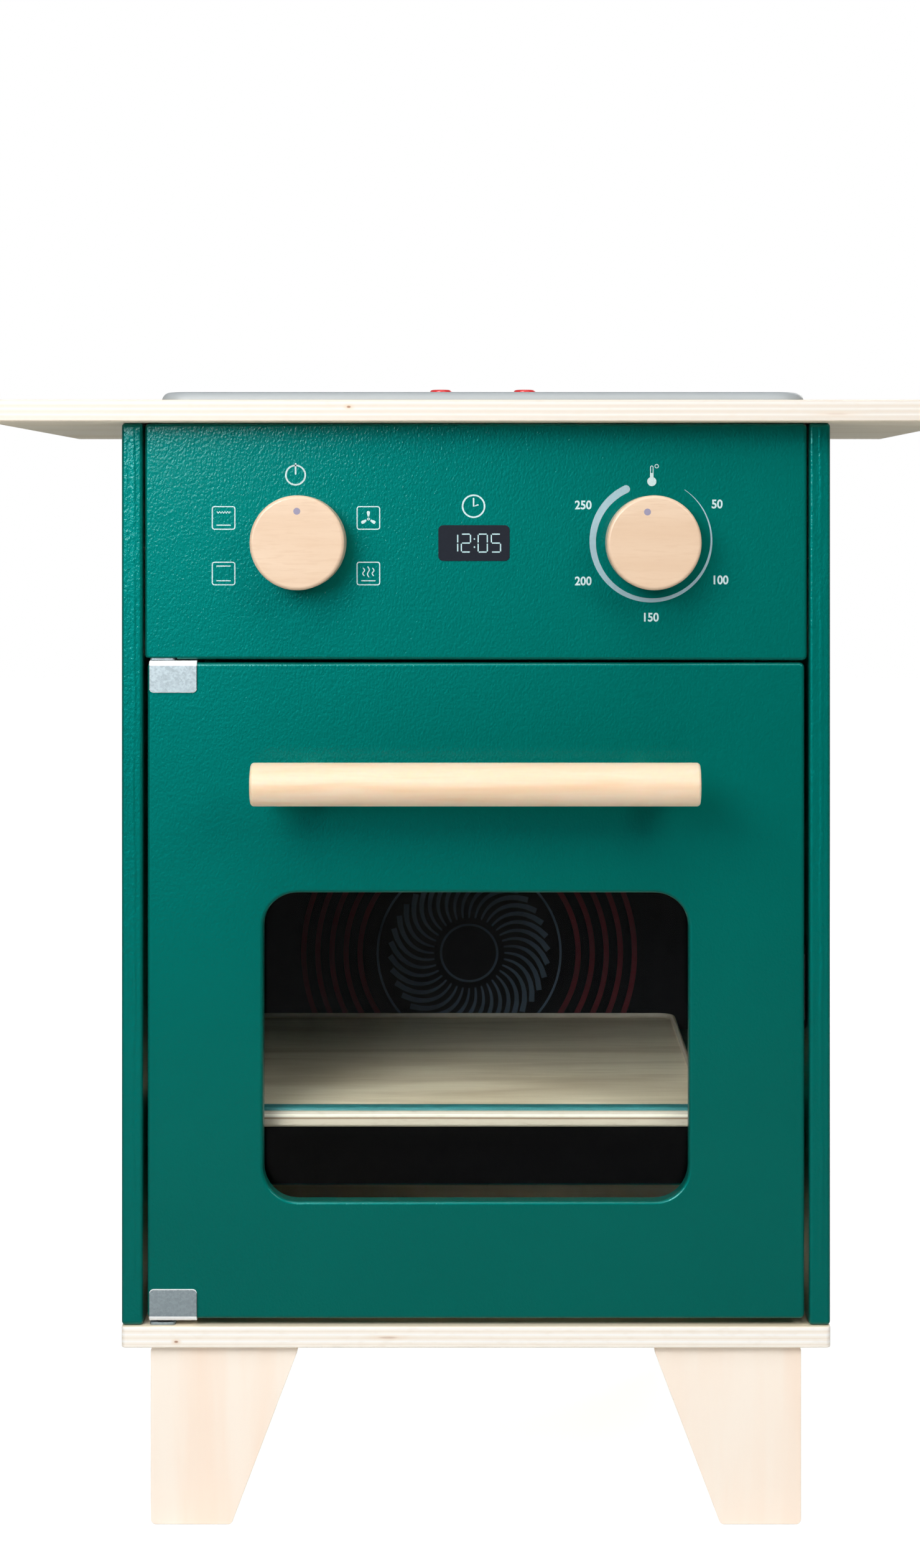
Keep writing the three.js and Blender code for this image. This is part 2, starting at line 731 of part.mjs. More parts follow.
// Magnetic catch on the right side panel, which also stops the door
function buildCatch() {
  const group = new THREE.Group();
  const front = boardThickness + 2 * seatGap + strikeThickness + runGap;
  group.position.set(innerWidth / 2 - seatGap - catchWidth / 2, front, catchZ);
  const outline = roundedRectangle(catchWidth, catchHeight, catchRound);
  const body = facingFront(slab(outline, catchDepth), catchDepth);
  const slot = roundedRectangle(magnetWidth + 2 * runGap, magnetHeight + 2 * runGap, runGap);
  const room = facingFront(slab(slot, magnetDepth + runGap + cutOverrun), magnetDepth + runGap);
  place(group, 'magnet_catch', cutFrom(body, room), darkPlastic());
  const magnet = slab(roundedRectangle(magnetWidth, magnetHeight, runGap), magnetDepth);
  place(group, 'catch_magnet', facingFront(magnet, magnetDepth), steel());
  return group;
}

// Loose tray with a milled recess, on two ledges
function buildTray() {
  const group = new THREE.Group();
  const ledgeDepth = sideDepth - ledgeFromFront - ledgeFromBack;
  const ledgeX = innerWidth / 2 - seatGap - ledgeWidth / 2;
  const trayBottom = trayTop - trayThickness;
  for (const [side, x] of [['left', -ledgeX], ['right', ledgeX]]) {
    place(group, `tray_ledge_${side}`, board(ledgeWidth, ledgeDepth, ledgeThickness), greenPaint(),
      x, ledgeFromFront + ledgeDepth / 2, trayBottom - seatGap - ledgeThickness);
  }
  const stock = board(trayWidth, trayDepth, trayThickness, trayCornerRadius);
  const recess = board(trayWidth - 2 * trayRim, trayDepth - trayRim - trayFrontRim, trayRecess + cutOverrun,
    trayRecessRadius, 0);
  recess.translate(0, (trayFrontRim - trayRim) / 2, trayThickness - trayRecess);
  place(group, 'oven_tray', cutFrom(stock, recess), plywood(),
    trayLeft + trayWidth / 2, trayFromFront + trayDepth / 2, trayBottom);
  return group;
}

// Hob plate: a shallow moulded shell with two glowing discs and two push buttons
function buildHob() {
  const hob = new THREE.Group();
  hob.position.set(hobOffCentre, 0, worktopTop);
  const centreY = hobFromFront + hobDepth / 2;
  place(hob, 'hob_housing', hobHousing(), greyPlastic(), 0, centreY, seatGap);
  const discY = hobFromFront + hobDepth * hotplateFromFrontShare;
  for (const [side, x] of [['left', -hotplateSpacing / 2], ['right', hotplateSpacing / 2]]) {
    place(hob, `hotplate_${side}`, rodZ(hotplateRadius, -hotplateThickness, 0), darkPlastic(),
      x, discY, hobHeight + seatGap);
  }
  for (const [side, x] of [['left', -buttonSpacing / 2], ['right', buttonSpacing / 2]]) {
    place(hob, `hob_button_${side}`, hobButton(), redPlastic(), x, buttonY, hobHeight + buttonProud);
    place(hob, `button_spring_${side}`, buttonSpring(), steel(), x, buttonY, -circuitBelowWorktop + runGap);
  }
  place(hob, 'circuit_board', board(tubWidth - 2 * tubWall - 2 * boardInset,
    tubDepth - 2 * tubWall - 2 * boardInset, circuitThickness, boardCornerRound, 0),
  material(0x2f6b3c, 0.6), 0, tubCentreY, circuitTop - circuitThickness - worktopTop);
  place(hob, 'hob_tub', hobTub(), greyPlastic(), 0, tubCentreY, tubBottom - worktopTop);
  place(hob, 'battery_cover', board(hatchWidth, hatchDepth, tubWall, hatchCornerRadius, 0),
    greyPlastic(), 0, tubCentreY, tubBottom - worktopTop);
  return hob;
}

// The shell is open below; its upper edge is rounded.
function hobHousing() {
  const whole = board(hobWidth, hobDepth, hobHeight + hobEdgeRound, hobCornerRadius, hobEdgeRound,
    wideCornerSegments);
  whole.translate(0, 0, -hobEdgeRound);
  const below = board(hobWidth + 2 * cutOverrun, hobDepth + 2 * cutOverrun, hobEdgeRound + cutOverrun,
    hobCornerRadius, 0);
  below.translate(0, 0, -hobEdgeRound - cutOverrun);
  const hollow = board(hobWidth - 2 * hobWall, hobDepth - 2 * hobWall,
    hobHeight - hobWall + cutOverrun, hobCornerRadius - hobWall, 0).translate(0, 0, -cutOverrun);
  const discRooms = [-hotplateSpacing / 2, hotplateSpacing / 2].map((x) => rodZ(
    hotplateRadius + runGap, hobHeight - hotplateThickness - seatGap, hobHeight + cutOverrun,
  ).translate(x, hobDepth * hotplateFromFrontShare - hobDepth / 2, 0));
  const buttonRooms = [-buttonSpacing / 2, buttonSpacing / 2].map((x) => rodZ(
    buttonRadius + runGap, 0, hobHeight + cutOverrun,
  ).translate(x, buttonFromHobFront - hobDepth / 2, 0));
  return cutFrom(whole, below, hollow, ...discRooms, ...buttonRooms);
}

// A cap on a flange that is kept under the shell, with a stem down the middle of its spring.
function hobButton() {
  const flangeTop = hobInnerTop - runGap - hobTop - buttonProud;
  const flangeBottom = flangeTop - buttonFlangeThickness;
  const stemBottom = circuitTop + buttonStemGap - hobTop - buttonProud;
  return turned([
    [0, stemBottom],
    [buttonStemRadius, stemBottom],
    [buttonStemRadius, flangeBottom],
    [buttonFlangeRadius, flangeBottom],
    [buttonFlangeRadius, flangeTop],
    [buttonRadius, flangeTop],
    ...quarterRound(buttonRadius - buttonTopRound, -buttonTopRound, buttonTopRound, 0, Math.PI / 2),
    [0, 0],
  ], smallRoundSegments);
}

// The spring's lower end stands just above the circuit board.
function buttonSpring() {
  const flangeBottom = hobInnerTop - runGap - buttonFlangeThickness;
  const height = flangeBottom - circuitTop - 2 * runGap - springWire;
  const wire = springWire / 2;
  const helix = new (class extends THREE.Curve {
    getPoint(share, target = new THREE.Vector3()) {
      const angle = share * springTurns * Math.PI * 2;
      return target.set(springRadius * Math.cos(angle), springRadius * Math.sin(angle), wire + share * height);
    }
  })();
  const section = new THREE.Shape();
  section.absarc(0, 0, wire, 0, Math.PI * 2);
  return new THREE.ExtrudeGeometry(section, {
    steps: springTurns * springStepsPerTurn,
    curveSegments: springWireSides / 2,
    extrudePath: helix,
  });
}

// A tub that hangs by its flange in the worktop's cut-out, with a battery hatch in its floor.
function hobTub() {
  const wallTop = tubHeight + seatGap;
  const outside = board(tubWidth, tubDepth, wallTop + tubFlangeThickness, tubCornerRadius, 0);
  const flange = board(tubWidth + 2 * tubFlange, tubDepth + 2 * tubFlange, tubFlangeThickness,
    tubCornerRadius + tubFlange, 0).translate(0, 0, wallTop);
  const insideWidth = tubWidth - 2 * tubWall;
  const insideDepth = tubDepth - 2 * tubWall;
  const inside = board(insideWidth, insideDepth, wallTop + tubFlangeThickness, tubCornerRadius - tubWall, 0);
  inside.translate(0, 0, tubWall);
  const hatch = board(hatchWidth + 2 * runGap, hatchDepth + 2 * runGap, tubWall + 2 * cutOverrun,
    hatchCornerRadius + runGap, 0).translate(0, 0, -cutOverrun);
  const bossTop = tubHeight - circuitBelowWorktop - circuitThickness - seatGap;
  const bossX = insideWidth / 2 - boardInset - tubBossRadius;
  const bossY = insideDepth / 2 - boardInset - tubBossRadius;
  const bosses = [[-1, -1], [1, -1], [-1, 1], [1, 1]].map(([x, y]) => rodZ(
    tubBossRadius, tubWall / 2, bossTop, smallRoundSegments,
  ).translate(x * bossX, y * bossY, 0));
  return joined(cutFrom(joined(outside, flange), inside, hatch), ...bosses);
}

// The whole oven, centred between its frontmost and rearmost points
const oven = new THREE.Group();
oven.add(buildCabinet(), buildLegs(), buildControls(), buildDoor(), buildHingePlates(), buildCatch(),
  buildTray(), buildHob());
oven.position.y = -(frontmost + cabinetBack) / 2;

export default oven;
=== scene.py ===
# The looks of a child's play oven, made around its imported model: plywood and painted boards,
# turned knobs, a bar handle, folded hinges, printed symbols, a wooden tray and a hob plate.
# Lengths are in metres, written as millimetres times MM. The front faces -Y.

import json
import math

import bmesh
import bpy
from mathutils import Matrix, Vector


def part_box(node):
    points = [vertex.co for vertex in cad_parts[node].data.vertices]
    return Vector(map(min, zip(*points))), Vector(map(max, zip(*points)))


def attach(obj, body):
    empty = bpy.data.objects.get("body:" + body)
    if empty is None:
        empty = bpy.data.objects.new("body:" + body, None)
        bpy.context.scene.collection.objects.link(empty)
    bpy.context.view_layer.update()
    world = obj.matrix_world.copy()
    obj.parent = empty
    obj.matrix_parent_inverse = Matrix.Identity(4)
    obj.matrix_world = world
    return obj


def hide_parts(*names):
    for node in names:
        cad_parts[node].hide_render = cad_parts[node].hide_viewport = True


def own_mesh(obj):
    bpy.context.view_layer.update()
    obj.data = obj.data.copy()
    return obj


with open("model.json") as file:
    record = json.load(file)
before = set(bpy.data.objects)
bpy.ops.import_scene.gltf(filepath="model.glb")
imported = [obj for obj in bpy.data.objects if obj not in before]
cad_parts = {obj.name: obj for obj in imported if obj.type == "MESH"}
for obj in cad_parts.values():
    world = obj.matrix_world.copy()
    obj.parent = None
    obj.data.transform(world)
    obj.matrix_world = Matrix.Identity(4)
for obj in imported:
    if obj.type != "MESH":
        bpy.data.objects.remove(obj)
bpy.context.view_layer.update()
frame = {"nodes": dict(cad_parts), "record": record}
MM = 0.001
BODIES = frame["record"]["behaviour"]["bodies"]
BODY_OF = {node: body for body, nodes in BODIES.items() for node in nodes}

# The photograph's frame, and the point of it that the level camera looks at, in pixels
FRAME_WIDTH_PX = 1479
FRAME_HEIGHT_PX = 2520
FOCAL_PX = 4669
LOOKS_AT_PX = (800, 830)
SENSOR_WIDTH = 36
CAMERA_AT = Vector((10.2, -1489, 474)) * MM

# Studio light: place, size in metres and power in watts of each lamp
LAMP_TARGET = Vector((0, -125, 330)) * MM
WARM_WHITE = (1.0, 0.99, 0.97)
LAMPS = {
    "left_softbox": ((-0.65, -1.08, 1.03), 0.65, 10.9),
    "right_softbox": ((1.1, -1.56, 1.34), 0.7, 14.2),
    "overhead_softbox": ((0.0, -0.9, 1.8), 0.8, 11.2),
    "rear_softbox": ((0.9, 2.0, 1.3), 0.8, 13),
}
SHEEN_CARD = ((-0.73, -1.9, 1.04), 0.9, 46, (1.0, 1.0, 1.0))
ROOM_LIGHT = 0.03
ROOM_IN_GLOSS = 0.05
BEHIND_FADE = 0.15
BEHIND_IN_GLOSS = 0.4
FLOOR_SIZE = 14
FLOOR_GAP = 0.2 * MM
FLOOR_COLOR = (0.9, 0.9, 0.9, 1)
FLOOR_COLOR_IN_GLOSS = (0.28, 0.28, 0.28, 1)
FLOOR_GLOW_NEAR = 0.84
FLOOR_GLOW_FAR = 1.0
FLOOR_NEAR = 0.5
FLOOR_FAR = 1.6
WHITE = (1, 1, 1, 1)

# How finely the forms are divided
CORNER_SEGMENTS = 8
EDGE_SEGMENTS = 5
ROUND_SEGMENTS = 96
SMALL_SEGMENTS = 32
SHARP_ANGLE = math.radians(48)
FLAT_ANGLE = math.radians(1)
BEVEL_ANGLE = math.radians(40)
WELD = 0.001 * MM

# Boards
BOARD_CORNER = 2.2 * MM
BOARD_EDGE = 1.6 * MM
PLY_EDGE_ROUND = 0.7 * MM
LEG_CORNER = 2.4 * MM
LEG_EDGE = 0.4 * MM
LEG_TOP_WIDTH = 70 * MM
LEG_BOTTOM_WIDTH = 38 * MM
WINDOW_WIDTH = 200 * MM
WINDOW_HEIGHT = 145 * MM
WINDOW_RADIUS = 16 * MM
PANEL_DROP_LEFT = 0.8 * MM
PANEL_DROP_RIGHT = 1.3 * MM
PANEL_NOTCH_WIDTH = 15 * MM
TRAY_CORNER = 10 * MM
TRAY_RIM = 2 * MM
TRAY_FRONT_RIM = 8 * MM
TRAY_RECESS = 2.4 * MM
TRAY_RECESS_CORNER = 8 * MM
TRAY_RECESS_LIP = 0.4 * MM
TRAY_RECESS_COVE = 1.2 * MM
# How far down from the tray's top the dark teal band reaches
TRAY_BAND_DEPTH = 1.8 * MM
# Knots and streaks in the front edges: across, up, and shares of narrowness and strength
WORKTOP_KNOTS = ((-58.7, 524.7, 0.55, 1.0), (167, 521.4, 0.1, 0.4))
BASE_KNOTS = ((-140.6, 86.9, 0.55, 1.0), (-41.2, 88.9, 0.12, 0.6))

# Knobs and handle
KNOB_FRONT_ROUND = 1.7 * MM
KNOB_BACK_ROUND = 0.8 * MM
KNOB_DOT_RADIUS = 1.6 * MM
KNOB_DOT_FROM_CENTRE = 14.6 * MM
KNOB_DOT_PROUD = 0.06 * MM
DOT_ANGLES = {"selector": 0.0, "temperature": math.radians(12.6)}
BAR_END_ROUND = 1.6 * MM
SPACER_ROUND = 0.5 * MM
SADDLE_GAP = 0.3 * MM
WOOD_DEPTH = 6 * MM

# Colours, as red, green and blue from 0 to 255
GREEN = (0, 85, 75)
GREEN_LIGHT = (0, 89, 79)
EDGE_GREEN = (0, 97, 88)
DARK_TEAL = (40, 108, 109)
PLY_PALE = (237, 233, 228)
PLY_BEIGE = (225, 217, 207)
BASE_PALE = (255, 253, 251)
BASE_BEIGE = (248, 241, 231)
PLY_GLUE = (222, 205, 184)
PLY_FACE = (248, 236, 214)
PLY_FACE_DARK = (236, 220, 190)
TRAY_PALE = (245, 238, 222)
TRAY_BEIGE = (186, 174, 156)
TRAY_GLUE = (128, 104, 82)
TRAY_FACE = (241, 226, 199)
TRAY_FACE_DARK = (204, 183, 152)
BEECH = (229, 204, 179)
BEECH_DARK = (217, 187, 159)
PINE = (251, 231, 205)
PINE_DARK = (238, 206, 172)
BAR = (240, 218, 191)
BAR_DARK = (234, 202, 166)
LEG_WOOD = (255, 244, 232)
LEG_WOOD_DARK = (254, 234, 217)
ZINC = (150, 163, 169)
# A near-white painted highlight for the hinges' bends
BEND_HIGHLIGHT_ZINC = (248, 251, 253)
STEEL = (176, 180, 184)
HOB_GREY = (166, 173, 178)
BUTTON_RED = (214, 48, 52)
INK = (204, 230, 234)
SCALE_INK = (160, 193, 205)
DISPLAY_BLACK = (27, 32, 43)
DIGIT_PALE = (190, 226, 232)
DOT_VIOLET = (150, 144, 170)
DARK_PLASTIC = (30, 32, 35)
DISC_BLACK = (38, 40, 44)
CIRCUIT_GREEN = (40, 105, 62)
HEATER_RED = (88, 26, 34)
# The back sheet's own dark colour, made darker still as painted shade for the dim inside of the
# oven
SHEET_BLACK_AND_SHADE = (9, 9, 12)
PANE_CLEAR = (240, 244, 244)
PANE_SHADE = (206, 210, 210)
FLOOR_PAPER = (240, 240, 240)
RING_GREY = (150, 154, 158)
KNOT_HALO = (222, 188, 150)
KNOT_HEART = (150, 98, 64)
VENT_BLUE = (70, 84, 100)

# Paint: its gloss, its clear coat and the fine bumps that a roller leaves
PAINT_GLOSS = 0.55
PAINT_SHEEN = (0.0, 1.0, 1.0, 1)
PAINT_COAT = 0.25
PEEL_SCALE = 850
PEEL_DEPTH = 0.25 * MM
PEEL_STRENGTH = 0.45
SIDE_CENTRE = 161.5 * MM
SIDE_RIDGES = ((0.7 * MM, 1.0), (-2.9 * MM, 0.25))


def linear(color):
    """A colour of 0 to 255 as Blender's linear light."""
    def channel(value):
        share = value / 255
        return share / 12.92 if share <= 0.04045 else ((share + 0.055) / 1.055) ** 2.4
    return (*[channel(value) for value in color], 1)


def shaded(color, share):
    return tuple(value * share for value in color)


# Material building
class Nodes:
    """A node tree in the making. A colour of three numbers runs from 0 to 255."""

    def __init__(self, tree):
        self.tree = tree

    def feed(self, socket, value):
        if isinstance(value, bpy.types.NodeSocket):
            self.tree.links.new(value, socket)
        elif socket.type == "RGBA" and len(value) == 3:
            socket.default_value = linear(value)
        else:
            socket.default_value = value

    def node(self, kind, inputs=None, **settings):
        made = self.tree.nodes.new(kind)
        for key, value in settings.items():
            setattr(made, key, value)
        for key, value in (inputs or {}).items():
            self.feed(made.inputs[key], value)
        return made

    def math(self, operation, first, second=0.0, third=0.0):
        values = {0: first, 1: second, 2: third}
        return self.node("ShaderNodeMath", values, operation=operation).outputs[0]

    def minus(self, first, second):
        return self.math("SUBTRACT", first, second)

    def times(self, first, second):
        return self.math("MULTIPLY", first, second)

    def size(self, value):
        return self.math("ABSOLUTE", value)

    def step(self, value, low, high):
        """0 below low, 1 above high and smooth between."""
        return self.node("ShaderNodeMapRange", {
            "Value": value, "From Min": low, "From Max": high,
        }, interpolation_type="SMOOTHSTEP").outputs["Result"]

    def fall(self, value, low, high):
        """1 below low, 0 above high and smooth between."""
        return self.minus(1.0, self.step(value, low, high))

    def part(self, vector, name):
        """One of the X, Y and Z of a vector."""
        return self.node("ShaderNodeSeparateXYZ", {0: vector}).outputs[name]

    def vector(self, operation, *inputs):
        values = dict(enumerate(inputs))
        return self.node("ShaderNodeVectorMath", values, operation=operation).outputs[0]

    def length(self, vector):
        return self.node("ShaderNodeVectorMath", {0: vector}, operation="LENGTH").outputs["Value"]


class Look(Nodes):
    """A material in the making: its Principled shader and the nodes that feed it."""

    def __init__(self, name, color, roughness, metallic=0.0, specular=0.5):
        self.material = bpy.data.materials.new(name)
        self.material.use_nodes = True
        self.material.diffuse_color = linear(color)
        super().__init__(self.material.node_tree)
        self.shader = self.tree.nodes["Principled BSDF"]
        self.set({"Base Color": color, "Roughness": roughness, "Metallic": metallic,
                  "Specular IOR Level": specular})
        self.place = self.node("ShaderNodeTexCoord").outputs["Object"]
        self.last_normal = None

    def set(self, values):
        for name, value in values.items():
            self.feed(self.shader.inputs[name], value)

    def noise(self, scale, stretch=(1, 1, 1), detail=3.0, roughness=0.55, distortion=0.0):
        placed = self.node("ShaderNodeMapping", {"Vector": self.place, "Scale": stretch})
        return self.node("ShaderNodeTexNoise", {
            "Vector": placed.outputs[0], "Scale": scale, "Detail": detail,
            "Roughness": roughness, "Distortion": distortion,
        }).outputs["Fac"]

    def grain(self, along, share, scale, across=1, **settings):
        """Noise that is drawn out along one axis."""
        stretch = [share if axis == along else across for axis in "XYZ"]
        return self.noise(scale, stretch, **settings)

    def ramp(self, value, stops):
        made = self.node("ShaderNodeValToRGB", {"Fac": value})
        elements = made.color_ramp.elements
        while len(elements) < len(stops):
            elements.new(1.0)
        for element, (position, color) in zip(elements, stops):
            element.position = position
            element.color = linear(color)
        return made.outputs["Color"]

    def mix(self, share, first, second):
        made = self.node("ShaderNodeMix", data_type="RGBA")
        for index, value in ((0, share), (6, first), (7, second)):
            self.feed(made.inputs[index], value)
        return made.outputs[2]

    def tint(self, under, color, share, strength):
        """A colour laid over another where a share is high."""
        return self.mix(self.times(share, strength), under, color)

    def axis(self, name):
        """One of X, Y and Z of the place on the object."""
        return self.part(self.place, name)

    def facing(self, name):
        """How far the surface faces along one axis, from -1 to 1."""
        return self.part(self.node("ShaderNodeTexCoord").outputs["Normal"], name)

    def color(self, socket):
        self.set({"Base Color": socket})

    def roughness(self, value, low, high):
        self.set({"Roughness": self.node("ShaderNodeMapRange", {
            "Value": value, "To Min": low, "To Max": high,
        }).outputs["Result"]})

    def bump(self, height, depth, strength=1.0):
        inputs = {"Height": height, "Distance": depth, "Strength": strength}
        if self.last_normal is not None:
            inputs["Normal"] = self.last_normal
        self.last_normal = self.node("ShaderNodeBump", inputs).outputs["Normal"]
        self.set({"Normal": self.last_normal, "Coat Normal": self.last_normal})


def paint(name, color):
    """Satin paint with a thin clear coat, which alone brings the pale sheen."""
    look = Look(name, color, 0.4, specular=PAINT_GLOSS)
    look.set({"Specular Tint": PAINT_SHEEN, "Coat Weight": PAINT_COAT, "Coat Roughness": 0.1,
              "Coat IOR": 1.5})
    return look


def orange_peel(look, stretch, glossiest):
    peel = look.noise(PEEL_SCALE, stretch, detail=2, roughness=0.5)
    look.roughness(peel, glossiest, 0.46)
    look.bump(peel, PEEL_DEPTH, PEEL_STRENGTH)


def green_paint(name):
    """Satin paint rolled onto a board: an even colour with a fine orange-peel surface."""
    look = paint(name, GREEN)
    look.color(look.mix(look.noise(18, detail=2), GREEN, GREEN_LIGHT))
    look.bump(look.noise(45, detail=1), 0.5 * MM, 0.12)
    orange_peel(look, (1.15, 1, 0.8), 0.34)
    return look.material


def painted_side(name, centre):
    """The same paint on a side panel, with soft ply ridges and dents along its cut edges."""
    look = paint(name, EDGE_GREEN)
    on_edge = look.fall(look.size(look.facing("X")), 0.75, 0.95)
    uneven = look.mix(look.noise(30, stretch=(1, 1, 0.2)), GREEN, EDGE_GREEN)
    look.color(look.mix(on_edge, GREEN, uneven))
    sway = look.noise(26, stretch=(1, 1, 0.7), detail=2)
    sway = look.math("MULTIPLY_ADD", sway, 3 * MM, -1.5 * MM)
    across = look.math("ADD", look.minus(look.axis("X"), centre), sway)
    ridges = 0.0
    for place, strength in SIDE_RIDGES:
        ridge = look.fall(look.size(look.minus(across, place)), 0.1 * MM, 1.3 * MM)
        ridges = look.math("MULTIPLY_ADD", ridge, strength, ridges)
    fading = look.step(look.noise(14, stretch=(0, 0, 1), detail=1), 0.3, 0.7)
    dents = look.noise(300, stretch=(1, 1, 0.5), detail=3, roughness=0.65)
    look.bump(look.times(ridges, look.times(on_edge, fading)), 0.5 * MM, 0.4)
    look.bump(look.times(dents, on_edge), 0.6 * MM, 0.4)
    orange_peel(look, (1, 1, 0.8), 0.32)
    return look.material


def ply_edge_color(look, low, high, pale_plies, glue_lines, colors):
    """Bands of plies up the edge of a board, from shares of its thickness."""
    pale, beige, glue = colors
    height = look.math("DIVIDE", look.minus(look.axis("Z"), low.z), high.z - low.z)
    wave = look.math("MULTIPLY_ADD", look.noise(9, stretch=(1, 1, 0.2), detail=1), 0.05, -0.025)
    height = look.math("ADD", height, wave)
    stops = [(0.0, beige)]
    for share, half_width in pale_plies:
        stops += [(share - half_width, beige), (share, pale), (share + half_width, beige)]
    bands = look.ramp(height, stops + [(1.0, beige)])
    cross_grain = look.step(look.noise(620, stretch=(0.25, 1, 1), detail=2), 0.5, 0.75)
    bands = look.tint(bands, glue, cross_grain, 0.16)
    for share, half_width, strength in glue_lines:
        line = look.fall(look.size(look.minus(height, share)), half_width * 0.3, half_width)
        bands = look.tint(bands, glue, line, strength)
    return bands


def knot(look, color, across, up, narrowness, strength):
    """A small brown knot with a darker heart in the front edge of a board."""
    place = look.node("ShaderNodeCombineXYZ", {"X": look.axis("X"), "Z": look.axis("Z")}).outputs[0]
    offset = look.vector("SUBTRACT", place, (across, 0, up))
    distance = look.length(look.vector("MULTIPLY", offset, (narrowness, 0, 1)))
    halo = look.fall(distance, 0.3 * MM, 1.9 * MM)
    heart = look.fall(distance, 0.25 * MM, 0.7 * MM)
    color = look.tint(color, KNOT_HALO, halo, 0.45 * strength)
    return look.tint(color, KNOT_HEART, heart, 0.85 * strength ** 2)


def plywood(name, node, pale_plies, glue_lines, colors=(PLY_PALE, PLY_BEIGE, PLY_GLUE), knots=(),
            veneer=(PLY_FACE, PLY_FACE_DARK)):
    """Pale birch plywood under matt lacquer: veneer on its faces and plies on its edges."""
    look = Look(name, PLY_FACE, 0.5, specular=0.3)
    edge = ply_edge_color(look, *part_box(node), pale_plies, glue_lines, colors)
    for across, up, narrowness, strength in knots:
        edge = knot(look, edge, across * MM, up * MM, narrowness, strength)
    light, dark = veneer
    figure = look.grain("X", 0.12, 24, detail=4, distortion=1.2)
    face = look.mix(look.step(figure, 0.35, 0.75), light, dark)
    fibres = look.grain("X", 0.03, 900)
    face = look.tint(face, dark, look.step(fibres, 0.4, 0.7), 0.4)
    color = look.mix(look.step(look.size(look.facing("Z")), 0.6, 0.9), edge, face)
    flaws = look.step(look.grain("X", 0.3, 70, detail=1), 0.76, 0.84)
    look.color(look.tint(color, PLY_GLUE, flaws, 0.5))
    look.roughness(fibres, 0.42, 0.58)
    look.bump(fibres, 0.12 * MM, 0.25)
    return look


def wood(name, light, dark, along, scale, contrast=(0.35, 0.75), flecks=0.0, gloss=(0.38, 0.52),
         soft=0.0):
    """Pale solid wood whose grain runs along one axis, under a thin lacquer."""
    look = Look(name, light, 0.46, specular=0.3)
    if soft:
        look.set({"Subsurface Weight": soft, "Subsurface Scale": WOOD_DEPTH})
    figure = look.grain(along, 0.09, scale, detail=5, roughness=0.5, distortion=1.1)
    lines = look.grain(along, 0.045, scale * 7, across=0.5, detail=2, distortion=0.4)
    share = look.math("MULTIPLY_ADD", look.step(lines, 0.3, 0.8), 0.35,
                      look.times(look.step(figure, *contrast), 0.75))
    color = look.mix(share, light, dark)
    if flecks:
        specks = look.step(look.grain(along, 0.12, 700, detail=2), 0.48, 0.66)
        color = look.tint(color, dark, specks, flecks)
    look.color(color)
    fibres = look.grain(along, 0.05, 1500, detail=2)
    look.roughness(fibres, *gloss)
    look.bump(fibres, 0.08 * MM, 0.25)
    return look.material


def metal(name, color, roughness, brushed, spangle=0.15, metallic=1.0, bend_highlight=None):
    """Plated sheet metal with rolling marks and flecks of zinc, and a painted highlight where it
    faces up or down, as on its bends.
    """
    look = Look(name, color, roughness, metallic=metallic)
    bloom = look.noise(450, detail=4, roughness=0.7)
    cells = look.node("ShaderNodeTexVoronoi", {"Vector": look.place, "Scale": 1100})
    flecks = look.part(cells.outputs["Color"], "X")
    tone = look.math("MULTIPLY_ADD", flecks, 0.4, look.times(bloom, 0.6))
    surface = look.tint(color, shaded(color, 0.72), look.step(tone, 0.25, 0.75), spangle * 4)
    # Painted highlight: where the surface faces up or down, as on a bend, the colour turns
    # near-white and less metallic
    if bend_highlight:
        level = look.step(look.size(look.facing("Z")), 0.03, 0.15)
        surface = look.mix(level, surface, bend_highlight)
        look.set({"Metallic": look.math("MULTIPLY_ADD", level, -metallic, metallic)})
    look.color(surface)
    look.roughness(tone, roughness - 0.08, roughness + 0.1)
    look.bump(look.grain(brushed, 0.04, 900), 0.06 * MM, 0.25)
    look.bump(tone, 0.05 * MM, 0.3)
    return look.material


def plastic(name, color, roughness, depth=0.05 * MM):
    """Moulded plastic with a fine spark-eroded grain."""
    look = Look(name, color, roughness, specular=0.4)
    look.color(look.mix(look.noise(40, detail=2), color, shaded(color, 0.97)))
    texture = look.noise(500, detail=2)
    look.roughness(texture, roughness - 0.05, roughness + 0.06)
    look.bump(texture, depth, 0.25)
    return look.material


def ink(name, color, roughness=0.4, specular=0.3):
    """A printed layer, a little uneven where the paint's surface shows through."""
    look = Look(name, color, roughness, specular=specular)
    look.color(look.mix(look.noise(500, detail=2), color, shaded(color, 0.94)))
    look.bump(look.noise(620, detail=2), 0.2 * MM, 0.2)
    return look.material


def acrylic(name):
    """Clear sheet that lets the lamps' light through to the inside of the oven."""
    look = Look(name, PANE_CLEAR, 0.03)
    look.set({"Transmission Weight": 1, "IOR": 1.12})
    look.bump(look.noise(30, detail=1), 0.1 * MM, 0.05)
    clear = look.node("ShaderNodeBsdfTransparent", {"Color": PANE_SHADE})
    path = look.node("ShaderNodeLightPath")
    shown = look.node("ShaderNodeMixShader", {
        0: path.outputs["Is Shadow Ray"], 1: look.shader.outputs[0], 2: clear.outputs[0],
    })
    look.feed(look.tree.nodes["Material Output"].inputs["Surface"], shown.outputs[0])
    return look.material


